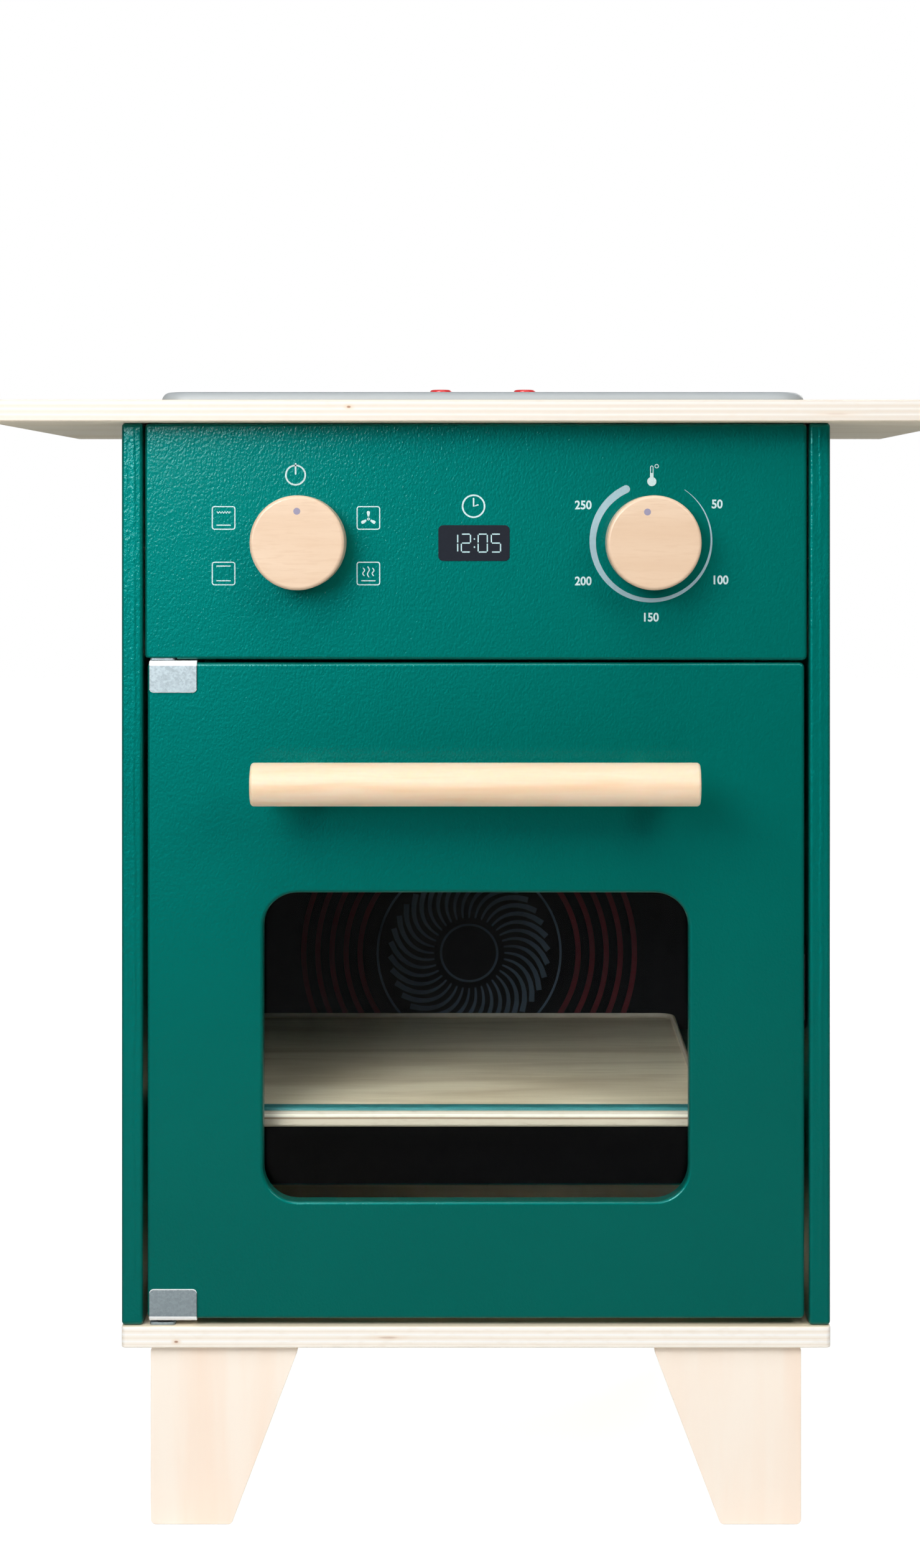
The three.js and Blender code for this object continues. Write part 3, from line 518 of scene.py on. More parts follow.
def tray_wood():
    """The tray's plywood, with a dark teal band over the top of its front rim and the top of its
    front edge.
    """
    low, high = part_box("oven_tray")
    look = plywood("tray_plywood", "oven_tray", ((0.62, 0.15), (0.22, 0.06)),
                   ((0.45, 0.06, 1.0), (0.68, 0.03, 0.35)), (TRAY_PALE, TRAY_BEIGE, TRAY_GLUE),
                   veneer=(TRAY_FACE, TRAY_FACE_DARK))
    # A dark teal band over the front rim's upper face and the top of its front edge
    inner = low.y + TRAY_FRONT_RIM
    band = look.fall(look.axis("Y"), inner - TRAY_RECESS_LIP, inner)
    raised = look.step(look.axis("Z"), high.z - TRAY_BAND_DEPTH, high.z - TRAY_BAND_DEPTH * 0.85)
    bare = look.shader.inputs["Base Color"].links[0].from_socket
    look.color(look.mix(look.times(band, raised), bare, DARK_TEAL))
    return look.material


def make_materials():
    """Every look by its short name. Plies are place and half width, glue lines also strength."""
    return {
        "green": green_paint("green_paint"),
        "left_side": painted_side("green_paint_left_side", -SIDE_CENTRE),
        "right_side": painted_side("green_paint_right_side", SIDE_CENTRE),
        "worktop": plywood("worktop_plywood", "worktop", ((0.32, 0.07), (0.59, 0.07), (0.86, 0.09)),
                           ((0.46, 0.03, 0.3), (0.73, 0.03, 0.3), (0.2, 0.03, 0.25),
                            (0.03, 0.06, 0.5)),
                           knots=WORKTOP_KNOTS).material,
        "base": plywood("base_plywood", "base_board", ((0.3, 0.08), (0.62, 0.08), (0.9, 0.08)),
                        ((0.46, 0.03, 0.35), (0.77, 0.03, 0.3), (0.17, 0.03, 0.3)),
                        (BASE_PALE, BASE_BEIGE, PLY_GLUE), BASE_KNOTS).material,
        "tray": tray_wood(),
        "beech": wood("beech", BEECH, BEECH_DARK, "X", scale=34, flecks=0.6, gloss=(0.26, 0.38)),
        "bar": wood("bar_pine", BAR, BAR_DARK, "X", scale=90, contrast=(0.45, 0.7), soft=0.3),
        "spacer": wood("spacer_pine", PINE, PINE_DARK, "Y", scale=60),
        "leg": wood("leg_wood", LEG_WOOD, LEG_WOOD_DARK, "Z", scale=26),
        "cleat": wood("cleat_pine", PINE, PINE_DARK, "Z", scale=60),
        "zinc": metal("zinc_plate", ZINC, 0.5, "Z", spangle=0.11, metallic=0.68),
        # The hinges' zinc, with a painted highlight on its bends
        "hinge": metal("hinge_zinc_painted_highlight", ZINC, 0.5, "Z", spangle=0.11, metallic=0.68, bend_highlight=BEND_HIGHLIGHT_ZINC),
        "steel": metal("plain_steel", STEEL, 0.28, "Y", spangle=0.05),
        "hob": plastic("hob_plastic", HOB_GREY, 0.45),
        "red": plastic("red_plastic", BUTTON_RED, 0.3, depth=0.02 * MM),
        "dark": plastic("dark_plastic", DARK_PLASTIC, 0.42),
        "ring": ink("ring_grey", RING_GREY),
        "disc": plastic("disc_plastic", DISC_BLACK, 0.22, depth=0.01 * MM),
        "circuit": plastic("circuit_board", CIRCUIT_GREEN, 0.4),
        "ink": ink("pale_ink", INK),
        "scale": ink("scale_ink", SCALE_INK),
        "display": ink("display_black", DISPLAY_BLACK, 0.5, 0.08),
        "digits": ink("digit_pale", DIGIT_PALE),
        "dot": ink("dot_violet", DOT_VIOLET, 0.5),
        "heater": ink("heater_red", HEATER_RED, 0.6, 0.05),
        "vent": ink("vent_blue", VENT_BLUE, 0.6, 0.05),
        "sheet": ink("sheet_black_and_shade", SHEET_BLACK_AND_SHADE, 0.6, 0.03),
        "acrylic": acrylic("clear_acrylic"),
    }


LOOKS = make_materials()

# Which way a piece's own U, V and W run: across, up and out of its face
FACING_FRONT = Matrix(((1, 0, 0), (0, 0, -1), (0, 1, 0)))
FACING_BACK = Matrix(((-1, 0, 0), (0, 0, 1), (0, 1, 0)))
FACING_RIGHT = Matrix(((0, 0, 1), (1, 0, 0), (0, 1, 0)))
FACING_UP = Matrix.Identity(3)
ALONG_X = Matrix(((0, 0, 1), (0, 1, 0), (-1, 0, 0)))


# Mesh building
class Outline:
    """A convex outline with rounded corners, given anticlockwise, that can be drawn in evenly."""

    def __init__(self, corners, radius, segments=CORNER_SEGMENTS):
        self.radius = radius
        self.points = []
        for index, corner in enumerate(map(Vector, corners)):
            before = corner - Vector(corners[index - 1])
            after = Vector(corners[(index + 1) % len(corners)]) - corner
            first = math.atan2(-before.x, before.y)
            turn = (math.atan2(-after.x, after.y) - first) % math.tau
            middle = first + turn / 2
            reach = radius / math.cos(turn / 2)
            centre = corner - Vector((math.cos(middle), math.sin(middle))) * reach
            for step in range(segments + 1):
                angle = first + turn * step / segments
                self.points.append((centre, Vector((math.cos(angle), math.sin(angle)))))

    def ring(self, inset=0.0):
        return [centre + direction * (self.radius - inset) for centre, direction in self.points]


def rectangle(width, height, radius, centre=(0, 0), segments=CORNER_SEGMENTS):
    u, v = centre
    return Outline([
        (u - width / 2, v - height / 2), (u + width / 2, v - height / 2),
        (u + width / 2, v + height / 2), (u - width / 2, v + height / 2),
    ], radius, segments)


def shares(count):
    """Even steps from 0 to 1."""
    return [step / count for step in range(count + 1)]


def circle(radius, segments=ROUND_SEGMENTS):
    angles = [math.tau * share for share in shares(segments)[:-1]]
    return [(radius * math.cos(angle), radius * math.sin(angle)) for angle in angles]


def quarter():
    """The angles of a quarter turn."""
    return [math.pi / 2 * share for share in shares(EDGE_SEGMENTS)]


def add_ring(mesh, points, height):
    return [mesh.verts.new((u, v, height)) for u, v in points]


def bridge(mesh, rings):
    for low, high in zip(rings, rings[1:]):
        for index in range(len(low)):
            mesh.faces.new((low[index - 1], low[index], high[index], high[index - 1]))


def close(mesh, rings):
    """A closed solid from rings given from its back to its front."""
    bridge(mesh, rings)
    mesh.faces.new(reversed(rings[0]))
    mesh.faces.new(rings[-1])


def edge_profile(thickness, edge_round):
    """Pairs of inset and height up the side of a board whose two edges are rounded alike."""
    lower = [(edge_round * (1 - math.sin(angle)), edge_round * (1 - math.cos(angle)))
             for angle in quarter()]
    return lower + [(inset, thickness - height) for inset, height in reversed(lower)]


def board_solid(outline, thickness, edge_round, hole=None, base=0.0):
    mesh = bmesh.new()
    profile = [(inset, base + height) for inset, height in edge_profile(thickness, edge_round)]
    rings = [add_ring(mesh, outline.ring(inset), height) for inset, height in profile]
    if hole is None:
        close(mesh, rings)
        return mesh
    walls = [add_ring(mesh, hole.ring(-inset), height) for inset, height in profile]
    bridge(mesh, rings + walls[::-1] + rings[:1])
    return mesh


def turned_solid(profile, segments=ROUND_SEGMENTS):
    """A solid turned about W, from points of radius and height given from its back to its front."""
    mesh = bmesh.new()
    close(mesh, [add_ring(mesh, circle(radius, segments), height) for radius, height in profile])
    return mesh


def arc(radius, height, round_radius, start, end):
    """Points of a quarter round of a turned profile, with its angles in degrees."""
    angles = [math.radians(start + (end - start) * share) for share in shares(EDGE_SEGMENTS)]
    return [(radius + round_radius * math.cos(angle), height + round_radius * math.sin(angle))
            for angle in angles]


def rod_profile(radius, length, back_round, front_round):
    return [*arc(radius - back_round, back_round, back_round, -90, 0),
            *arc(radius - front_round, length - front_round, front_round, 0, 90)]


# Pieces
class Box:
    """The extent of a CAD node, with the middles of its lower face and of its back."""

    def __init__(self, node):
        self.low, self.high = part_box(node)
        self.centre = (self.low + self.high) / 2
        self.size = self.high - self.low
        self.foot = Vector((self.centre.x, self.centre.y, self.low.z))
        self.back = Vector((self.centre.x, self.high.y, self.centre.z))


def placed(name, data):
    """A new object of the scene."""
    thing = bpy.data.objects.new(name, data)
    bpy.context.scene.collection.objects.link(thing)
    return thing


def mounted(name, data, body, stands_for=(), matrix=None):
    data.polygons.foreach_set("use_smooth", [True] * len(data.polygons))
    data.set_sharp_from_angle(angle=SHARP_ANGLE)
    thing = placed(name, data)
    if matrix is not None:
        thing.matrix_world = matrix
    shading = thing.modifiers.new("even_shading", "WEIGHTED_NORMAL")
    shading.keep_sharp = True
    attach(thing, body)
    if stands_for:
        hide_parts(*stands_for)
    return thing


def piece(name, mesh, look, body="cabinet", facing=FACING_UP, at=(0, 0, 0), stands_for=()):
    """Turns a finished bmesh into an object of the model that rides on a body."""
    mesh.transform(Matrix.Translation(at) @ facing.to_4x4())
    bmesh.ops.recalc_face_normals(mesh, faces=mesh.faces)
    data = bpy.data.meshes.new(name)
    mesh.to_mesh(data)
    mesh.free()
    data.materials.append(LOOKS[look])
    return mounted(name, data, body, stands_for)


def finished(node, mesh, look, facing=FACING_UP, at=(0, 0, 0)):
    """A piece that stands for a CAD node, on its body."""
    return piece(f"{node}_finished", mesh, look, BODY_OF[node], facing, at, [node])


def carve(mesh, *cutters):
    """Cuts closed meshes out of another and gives back what is left."""
    things = []
    for source in (mesh, *cutters):
        bmesh.ops.recalc_face_normals(source, faces=source.faces)
        data = bpy.data.meshes.new("carving")
        source.to_mesh(data)
        source.free()
        things.append(placed("carving", data))
    target, *tools = things
    for tool in tools:
        cut = target.modifiers.new("cut", "BOOLEAN")
        cut.operation = "DIFFERENCE"
        cut.solver = "EXACT"
        cut.object = tool
    carved = bmesh.new()
    carved.from_object(target, bpy.context.evaluated_depsgraph_get())
    for thing in things:
        bpy.data.objects.remove(thing)
    return carved


def eased(node, look, width):
    """A finished copy of a CAD solid, with its flats joined and its sharp edges eased."""
    mesh = bmesh.new()
    mesh.from_mesh(frame["nodes"][node].data)
    bmesh.ops.remove_doubles(mesh, verts=mesh.verts, dist=WELD)
    bmesh.ops.dissolve_limit(mesh, angle_limit=FLAT_ANGLE, verts=mesh.verts, edges=mesh.edges)
    made = finished(node, mesh, look)
    bevel = made.modifiers.new("eased_edges", "BEVEL")
    bevel.width = width
    bevel.segments = 2
    bevel.limit_method = "ANGLE"
    bevel.angle_limit = BEVEL_ANGLE
    made.modifiers.move(1, 0)


def dress(node, look):
    """Gives a CAD node that stays a finished look."""
    materials = frame["nodes"][node].data.materials
    materials.clear()
    materials.append(LOOKS[look])


def board_like(node, look, facing, edge=BOARD_EDGE, hole=None):
    """A board that stands for a CAD board and takes its size and place from it."""
    box = Box(node)
    width, height, thickness = map(abs, facing.transposed() @ box.size)
    start = box.centre - facing @ Vector((0, 0, thickness / 2))
    mesh = board_solid(rectangle(width, height, BOARD_CORNER), thickness, edge, hole)
    finished(node, mesh, look, facing, start)


def make_control_panel():
    """A board whose lower edge slopes towards the door and is cut away over the hinge's plate."""
    low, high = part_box("control_panel")
    thickness = high.y - low.y
    outline = Outline([(low.x, low.z - PANEL_DROP_LEFT), (high.x, low.z - PANEL_DROP_RIGHT),
                       (high.x, high.z), (low.x, high.z)], BOARD_CORNER)
    height = 2 * PANEL_DROP_RIGHT
    notch = rectangle(2 * PANEL_NOTCH_WIDTH, height, 0.2 * MM, (low.x, low.z - height / 2))
    mesh = carve(board_solid(outline, thickness, BOARD_EDGE),
                 board_solid(notch, 2 * thickness, 0.1 * MM, base=-thickness / 2))
    finished("control_panel", mesh, "green", FACING_FRONT, (0, high.y, 0))


def make_cabinet():
    for node in ("worktop", "base_board"):
        board_like(node, node.split("_")[0], FACING_UP, PLY_EDGE_ROUND)
    for side in ("left", "right"):
        board_like(f"{side}_side_panel", f"{side}_side", FACING_RIGHT)
        eased(f"tray_ledge_{side}", "green", 1.0 * MM)
        eased(f"control_panel_cleat_{side}", "cleat", 0.5 * MM)
    make_control_panel()
    eased("back_panel", "green", 0.5 * MM)
    make_back_screws()


# Screws with pan heads and cross recesses: each size is its head's radius and height, its shank's
# radius and its whole length
SCREW_SIZES = {
    "pane_screw": (3 * MM, 1.6 * MM, 1.5 * MM, 7.6 * MM),
    "handle_bolt": (4.2 * MM, 2.4 * MM, 2 * MM, 34 * MM),
    "back_screw": (2.9 * MM, 1.3 * MM, 1.2 * MM, 3.2 * MM),
}
DOME_ANGLES = range(0, 85, 14)
CROSS_LENGTH_SHARE = 1.1
CROSS_WIDTH_SHARE = 0.26
CROSS_DEPTH_SHARE = 0.6
BACK_SCREW_INSET = 4.6 * MM
BACK_SCREW_ROWS = 4


def screw(kind, length=None):
    """A screw about its own axis, whose head stands on Z = 0."""
    head_radius, head_height, shank_radius, whole_length = SCREW_SIZES[kind]
    shank = (length or whole_length) - head_height
    rim = head_height * 0.35
    dome = [(head_radius * math.cos(angle), rim + (head_height - rim) * math.sin(angle))
            for angle in map(math.radians, DOME_ANGLES)]
    mesh = turned_solid([(shank_radius * 0.4, -shank), (shank_radius, -shank + shank_radius),
                         (shank_radius, 0), (head_radius, 0), *dome], SMALL_SEGMENTS)
    across, along = head_radius * CROSS_WIDTH_SHARE, head_radius * CROSS_LENGTH_SHARE
    cutters = [board_solid(rectangle(*size, across * 0.2, segments=2), head_height, across * 0.1,
                           base=head_height * (1 - CROSS_DEPTH_SHARE))
               for size in ((across, along), (along, across))]
    return carve(mesh, *cutters)


def place_screw(node):
    """Puts a finished screw where a CAD one lies, with its head to the back."""
    box = Box(node)
    kind = node.rsplit("_", 1)[0]
    head_base = box.back - Vector((0, SCREW_SIZES[kind][1], 0))
    finished(node, screw(kind, box.size.y), "zinc", FACING_BACK, head_base)


def make_back_screws():
    """The small screws that hold the back panel, round its edge."""
    low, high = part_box("back_panel")
    left, right = low.x + BACK_SCREW_INSET, high.x - BACK_SCREW_INSET
    bottom, top = low.z + BACK_SCREW_INSET, high.z - BACK_SCREW_INSET
    rows = [bottom + (top - bottom) * share for share in shares(BACK_SCREW_ROWS - 1)]
    middle = (left + right) / 2
    places = [(x, z) for z in rows for x in (left, right)] + [(middle, bottom), (middle, top)]
    for index, (x, z) in enumerate(places, 1):
        piece(f"back_screw_{index}", screw("back_screw"), "zinc", facing=FACING_BACK,
              at=(x, high.y, z))


def make_legs():
    for name in ("front_left", "front_right", "back_left", "back_right"):
        side = -1 if name.endswith("left") else 1
        low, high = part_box(f"{name}_leg")
        outer = low.x if side < 0 else high.x
        corners = [(outer, low.z), (outer - side * LEG_BOTTOM_WIDTH, low.z),
                   (outer - side * LEG_TOP_WIDTH, high.z), (outer, high.z)]
        outline = Outline(corners if side < 0 else corners[::-1], LEG_CORNER)
        mesh = board_solid(outline, high.y - low.y, LEG_EDGE)
        finished(f"{name}_leg", mesh, "leg", FACING_FRONT, (0, high.y, 0))
        dress(f"{name}_leg_bolt", "steel")


def make_knobs():
    for name, angle in DOT_ANGLES.items():
        box = Box(f"{name}_knob")
        profile = rod_profile(box.size.x / 2, box.size.y, KNOB_BACK_ROUND, KNOB_FRONT_ROUND)
        finished(f"{name}_knob", turned_solid(profile), "beech", FACING_FRONT, box.back)
        dot = [(KNOB_DOT_RADIUS, 0), (KNOB_DOT_RADIUS, 2 * KNOB_DOT_PROUD)]
        offset = Vector((-math.sin(angle), 0, math.cos(angle))) * KNOB_DOT_FROM_CENTRE
        offset.y = KNOB_DOT_PROUD - box.size.y
        piece(f"{name}_knob_dot", turned_solid(dot, SMALL_SEGMENTS), "dot", name, FACING_FRONT,
              box.back + offset)
        dress(f"{name}_spindle", "steel")
        for part in ("washer", "nut"):
            eased(f"{name}_{part}", "zinc", 0.25 * MM)


# Door with its window, handle and hinges
def make_door():
    height = Box("window_pane").centre.z - Box("door_panel").centre.z
    window = rectangle(WINDOW_WIDTH, WINDOW_HEIGHT, WINDOW_RADIUS, (0, height))
    board_like("door_panel", "green", FACING_FRONT, hole=window)
    dress("window_pane", "acrylic")
    eased("strike_plate", "zinc", 0.25 * MM)
    for index in range(1, 5):
        place_screw(f"pane_screw_{index}")


def make_handle():
    bar = Box("handle_bar")
    mesh = turned_solid(rod_profile(bar.size.z / 2, bar.size.x, BAR_END_ROUND, BAR_END_ROUND))
    finished("handle_bar", mesh, "bar", ALONG_X, (bar.low.x, bar.centre.y, bar.centre.z))
    for side in ("left", "right"):
        make_spacer(f"handle_spacer_{side}", bar)
        place_screw(f"handle_bolt_{side}")


def make_spacer(node, bar):
    """A short turned spacer whose front is hollowed to fit round the bar."""
    box = Box(node)
    radius = box.size.x / 2
    reach = box.high.y - bar.centre.y
    saddle = bar.size.z / 2 + SADDLE_GAP
    mesh = bmesh.new()
    edge = arc(radius - SPACER_ROUND, SPACER_ROUND, SPACER_ROUND, -90, 0)
    rings = [add_ring(mesh, circle(ring_radius), height) for ring_radius, height in edge]
    for share in (1.0, 0.75, 0.5, 0.25):
        rings.append([mesh.verts.new((u, v, reach - math.sqrt(saddle ** 2 - v ** 2)))
                      for u, v in circle(radius * share)])
    close(mesh, rings)
    finished(node, mesh, "spacer", FACING_FRONT, box.back)


def make_hinges():
    for end in ("upper", "lower"):
        for part, look in (("clip", "hinge"), ("plate", "zinc")):
            eased(f"{end}_hinge_{part}", look, 0.22 * MM)
        dress(f"{end}_hinge_screw", "zinc")
    dress("lower_hinge_washer", "dark")


def make_tray():
    """A thick board whose upper face is milled out, leaving a low rim."""
    box = Box("oven_tray")
    size = box.size
    outer = rectangle(size.x, size.y, TRAY_CORNER)
    inner = rectangle(size.x - 2 * TRAY_RIM, size.y - TRAY_RIM - TRAY_FRONT_RIM, TRAY_RECESS_CORNER,
                      (0, (TRAY_FRONT_RIM - TRAY_RIM) / 2))
    lip, cove = TRAY_RECESS_LIP, TRAY_RECESS_COVE
    floor = size.z - TRAY_RECESS
    mesh = bmesh.new()
    rings = [add_ring(mesh, outer.ring(inset), height)
             for inset, height in edge_profile(size.z, BOARD_EDGE)]
    rings += [add_ring(mesh, inner.ring(inset), height) for inset, height in (
        (-lip, size.z), (0, size.z - lip), (0, floor + cove), (cove * 0.3, floor + cove * 0.3),
        (cove, floor))]
    close(mesh, rings)
    finished("oven_tray", mesh, "tray", at=box.foot)


# Prints
PRINT_DEPTH = 0.12 * MM
PRINT_SUNK = 0.04 * MM
UNDER_PRINT = PRINT_DEPTH * 0.98


def add_ribbon(mesh, points, widths, closed=False, depth=PRINT_DEPTH):
    """A flat band along a line of points, of one width or of a width for each point."""
    points = [Vector(point) for point in points]
    count = len(points)
    if not hasattr(widths, "__len__"):
        widths = [widths] * count
    rows = []
    for index, point in enumerate(points):
        before = points[index - 1] if closed or index else point
        after = points[(index + 1) % count] if closed or index < count - 1 else point
        along = (after - before).normalized()
        across = Vector((-along.y, along.x)) * widths[index] / 2
        left, right = point + across, point - across
        rows.append([mesh.verts.new((*right, 0)), mesh.verts.new((*left, 0)),
                     mesh.verts.new((*left, depth)), mesh.verts.new((*right, depth))])
    for here, there in zip(rows, rows[1:] + (rows[:1] if closed else [])):
        for side in range(4):
            mesh.faces.new((here[side], here[side - 1], there[side - 1], there[side]))
    if not closed:
        mesh.faces.new(rows[0])
        mesh.faces.new(rows[-1][::-1])


def add_disc(mesh, centre, radius, depth=PRINT_DEPTH, segments=SMALL_SEGMENTS):
    u, v = centre
    points = [(u + x, v + y) for x, y in circle(radius, segments)]
    close(mesh, [add_ring(mesh, points, 0), add_ring(mesh, points, depth)])


def add_stroke(mesh, points, width):
    """A band with round ends."""
    add_ribbon(mesh, points, width)
    for end in (points[0], points[-1]):
        add_disc(mesh, end, width / 2, UNDER_PRINT, 16)


def add_circle_line(mesh, centre, radius, width):
    u, v = centre
    add_ribbon(mesh, [(u + x, v + y) for x, y in circle(radius, 64)], width, closed=True)


def polar(centre, radius, degrees):
    """A point by its angle clockwise from straight up."""
    angle = math.radians(degrees)
    return centre[0] + radius * math.sin(angle), centre[1] + radius * math.cos(angle)


# Symbols round the left knob: sizes and places on the panel, across and up
ICON_SIZE = 11.1 * MM
ICON_CORNER = 1.3 * MM
ICON_LINE = 0.5 * MM
ICON_BAR = 6.3 * MM
ICON_BAR_UP = 3.5 * MM
ICON_BAR_DOWN = -3.4 * MM
ICON_COLUMNS = (-118.5 * MM, -50.5 * MM)
ICON_ROWS = (473.3 * MM, 447.2 * MM)
GRILL_TEETH = 10
FAN_BLADES = 3
FAN_REACH = (1.15, 1.7, 2.4, 3.1, 3.5, 3.75)
FAN_WIDTH = (0.7, 1.0, 1.35, 1.5, 1.3, 0.8)
STEAM_STEPS = 16
POWER_AT = (-84.7 * MM, 493.4 * MM)
POWER_RADIUS = 4.55 * MM
CLOCK_AT = (-1.1 * MM, 478.8 * MM)
CLOCK_RADIUS = 5.15 * MM
SYMBOL_LINE = 0.75 * MM


def add_icon_frame(mesh, centre):
    outline = rectangle(ICON_SIZE, ICON_SIZE, ICON_CORNER, centre)
    add_ribbon(mesh, outline.ring(ICON_LINE / 2), ICON_LINE, closed=True)


def add_icon_bar(mesh, centre, up):
    u, v = centre
    add_stroke(mesh, [(u - ICON_BAR / 2, v + up), (u + ICON_BAR / 2, v + up)], ICON_LINE)


def add_grill_icon(mesh, centre):
    low, high = 2.2 * MM, 3.0 * MM
    u, v = centre
    add_ribbon(mesh, [(u + ICON_BAR * (step / GRILL_TEETH - 0.5), v + (low if step % 2 else high))
                      for step in range(GRILL_TEETH + 1)], ICON_LINE)
    add_icon_bar(mesh, centre, ICON_BAR_DOWN)


def add_bake_icon(mesh, centre):
    for up in (ICON_BAR_UP, ICON_BAR_DOWN):
        add_icon_bar(mesh, centre, up)


def add_fan_icon(mesh, centre):
    hub = (centre[0], centre[1] - 0.5 * MM)
    add_circle_line(mesh, hub, 0.45 * MM, 0.4 * MM)
    for blade in range(FAN_BLADES):
        points = [polar(hub, radius * MM, blade * 360 / FAN_BLADES) for radius in FAN_REACH]
        add_ribbon(mesh, points, [value * MM for value in FAN_WIDTH])


def add_steam_icon(mesh, centre):
    for sideways, height in ((-2.2 * MM, 3.5 * MM), (0, 4.7 * MM), (2.2 * MM, 3.5 * MM)):
        add_stroke(mesh, [
            (centre[0] + sideways + 0.42 * MM * math.sin(math.tau * 1.15 * (share - 0.5)),
             centre[1] + 0.75 * MM + height * (share - 0.5)) for share in shares(STEAM_STEPS)
        ], ICON_LINE)
    add_icon_bar(mesh, centre, ICON_BAR_DOWN)


def add_power_symbol(mesh):
    add_circle_line(mesh, POWER_AT, POWER_RADIUS, SYMBOL_LINE)
    u, v = POWER_AT
    add_stroke(mesh, [(u, v + 0.6 * MM), (u, v + POWER_RADIUS + 0.8 * MM)], SYMBOL_LINE)


def add_clock_symbol(mesh):
    add_circle_line(mesh, CLOCK_AT, CLOCK_RADIUS, SYMBOL_LINE)
    u, v = CLOCK_AT
    add_stroke(mesh, [(u, v + 3.6 * MM), (u, v), (u + 2.0 * MM, v + 0.6 * MM)], SYMBOL_LINE)


# Temperature scale round the right knob
DIAL_CENTRE = (82.2 * MM, 462.5 * MM)
DIAL_RADIUS = 28.85 * MM
DIAL_FROM = 33.2
DIAL_TO = 334.3
DIAL_STEPS = 120
DIAL_THIN = 0.2 * MM
DIAL_THICK = 3.75 * MM
NUMBER_HEIGHT = 4.2 * MM
NUMBER_SQUEEZE = 0.94
NUMBER_BOLD = 0.05
NUMBERS = {
    "50": (113.3, 479.85), "100": (115.1, 444.2), "150": (82.4, 426.7), "200": (50.4, 443.7),
    "250": (50.4, 479.4),
}
BULB_AT = (82.6 * MM, 490.4 * MM)
BULB_RADIUS = 2.15 * MM


def add_dial(mesh):
    """A band that grows clockwise along one outer circle."""
    points, widths = [], []
    for share in shares(DIAL_STEPS):
        width = DIAL_THIN + (DIAL_THICK - DIAL_THIN) * share
        angle = DIAL_FROM + (DIAL_TO - DIAL_FROM) * share
        points.append(polar(DIAL_CENTRE, DIAL_RADIUS - width / 2, angle))
        widths.append(width)
    add_ribbon(mesh, points, widths)
    add_disc(mesh, points[-1], DIAL_THICK / 2, UNDER_PRINT)


def add_thermometer(mesh):
    u, v = BULB_AT
    add_disc(mesh, BULB_AT, BULB_RADIUS)
    half, line, top, filled = 0.6 * MM, 0.4 * MM, 7.3 * MM, 4.0 * MM
    add_ribbon(mesh, [(u, v), (u, v + filled)], 2 * half + line, depth=UNDER_PRINT)
    turns = [math.pi * share for share in shares(8)]
    cap = [(u - half * math.cos(turn), v + top - half + half * math.sin(turn)) for turn in turns]
    add_ribbon(mesh, [(u - half, v + filled), *cap, (u + half, v + filled)], line)
    add_circle_line(mesh, (u + 2.3 * MM, v + 7.2 * MM), 0.82 * MM, 0.36 * MM)


def number_mesh(text):
    """A printed number as a mesh about its own centre, in the front plane."""
    curve = bpy.data.curves.new(f"number_{text}", "FONT")
    curve.body = text
    curve.align_x = "CENTER"
    curve.align_y = "CENTER"
    curve.offset = NUMBER_BOLD / 2
    curve.extrude = 0.5
    helper = placed("number_helper", curve)
    shaped = helper.evaluated_get(bpy.context.evaluated_depsgraph_get())
    data = bpy.data.meshes.new_from_object(shaped)
    bpy.data.objects.remove(helper)
    corners = [vertex.co for vertex in data.vertices]
    low = Vector(map(min, zip(*corners)))
    high = Vector(map(max, zip(*corners)))
    scale = NUMBER_HEIGHT / (high.y - low.y)
    size = Matrix.Diagonal((scale * NUMBER_SQUEEZE, scale, PRINT_DEPTH, 1))
    data.transform(size @ Matrix.Translation(-(low + high) / 2))
    data.materials.clear()
    data.materials.append(LOOKS["ink"])
    return data


# Clock display
DISPLAY_AT = (-0.9 * MM, 461.5 * MM)
DISPLAY_SIZE = (33.5 * MM, 16.8 * MM)
DISPLAY_CORNER = 2.3 * MM
DISPLAY_DEPTH = 0.3 * MM
DIGITS_FORWARD = 0.22 * MM
DIGIT_SIZE = (4.3 * MM, 8.4 * MM)
DIGIT_LINE = 0.55 * MM
DIGIT_GAP = 0.32 * MM
DIGITS = (("1", -10.7), ("2", -4.7), ("0", 3.2), ("5", 9.4))
COLON_AT = -0.7 * MM
COLON_UP = 1.9 * MM
COLON_RADIUS = 0.36 * MM
SEGMENTS = {"0": "abcdef", "1": "bc", "2": "abged", "5": "afgcd"}


def segment_ends(name, centre):
    width, height = DIGIT_SIZE
    left, right = centre[0] - width / 2, centre[0] + width / 2
    top, middle, bottom = centre[1] + height / 2, centre[1], centre[1] - height / 2
    ends = {
        "a": ((left, top), (right, top)), "b": ((right, top), (right, middle)),
        "c": ((right, middle), (right, bottom)), "d": ((left, bottom), (right, bottom)),
        "e": ((left, middle), (left, bottom)), "f": ((left, top), (left, middle)),
        "g": ((left, middle), (right, middle)),
    }[name]
    start, end = map(Vector, ends)
    gap = (end - start).normalized() * DIGIT_GAP
    return start + gap, end - gap


def make_display(front):
    window = board_solid(rectangle(*DISPLAY_SIZE, DISPLAY_CORNER), DISPLAY_DEPTH, 0.1 * MM)
    piece("display_window", window, "display", facing=FACING_FRONT,
          at=(DISPLAY_AT[0], front + PRINT_SUNK, DISPLAY_AT[1]))
    mesh = bmesh.new()
    for digit, across in DIGITS:
        for name in SEGMENTS[digit]:
            add_ribbon(mesh, segment_ends(name, (across * MM, DISPLAY_AT[1])), DIGIT_LINE)
    for up in (COLON_UP, -COLON_UP):
        add_disc(mesh, (COLON_AT, DISPLAY_AT[1] + up), COLON_RADIUS)
    piece("display_digits", mesh, "digits", facing=FACING_FRONT, at=(0, front - DIGITS_FORWARD, 0))


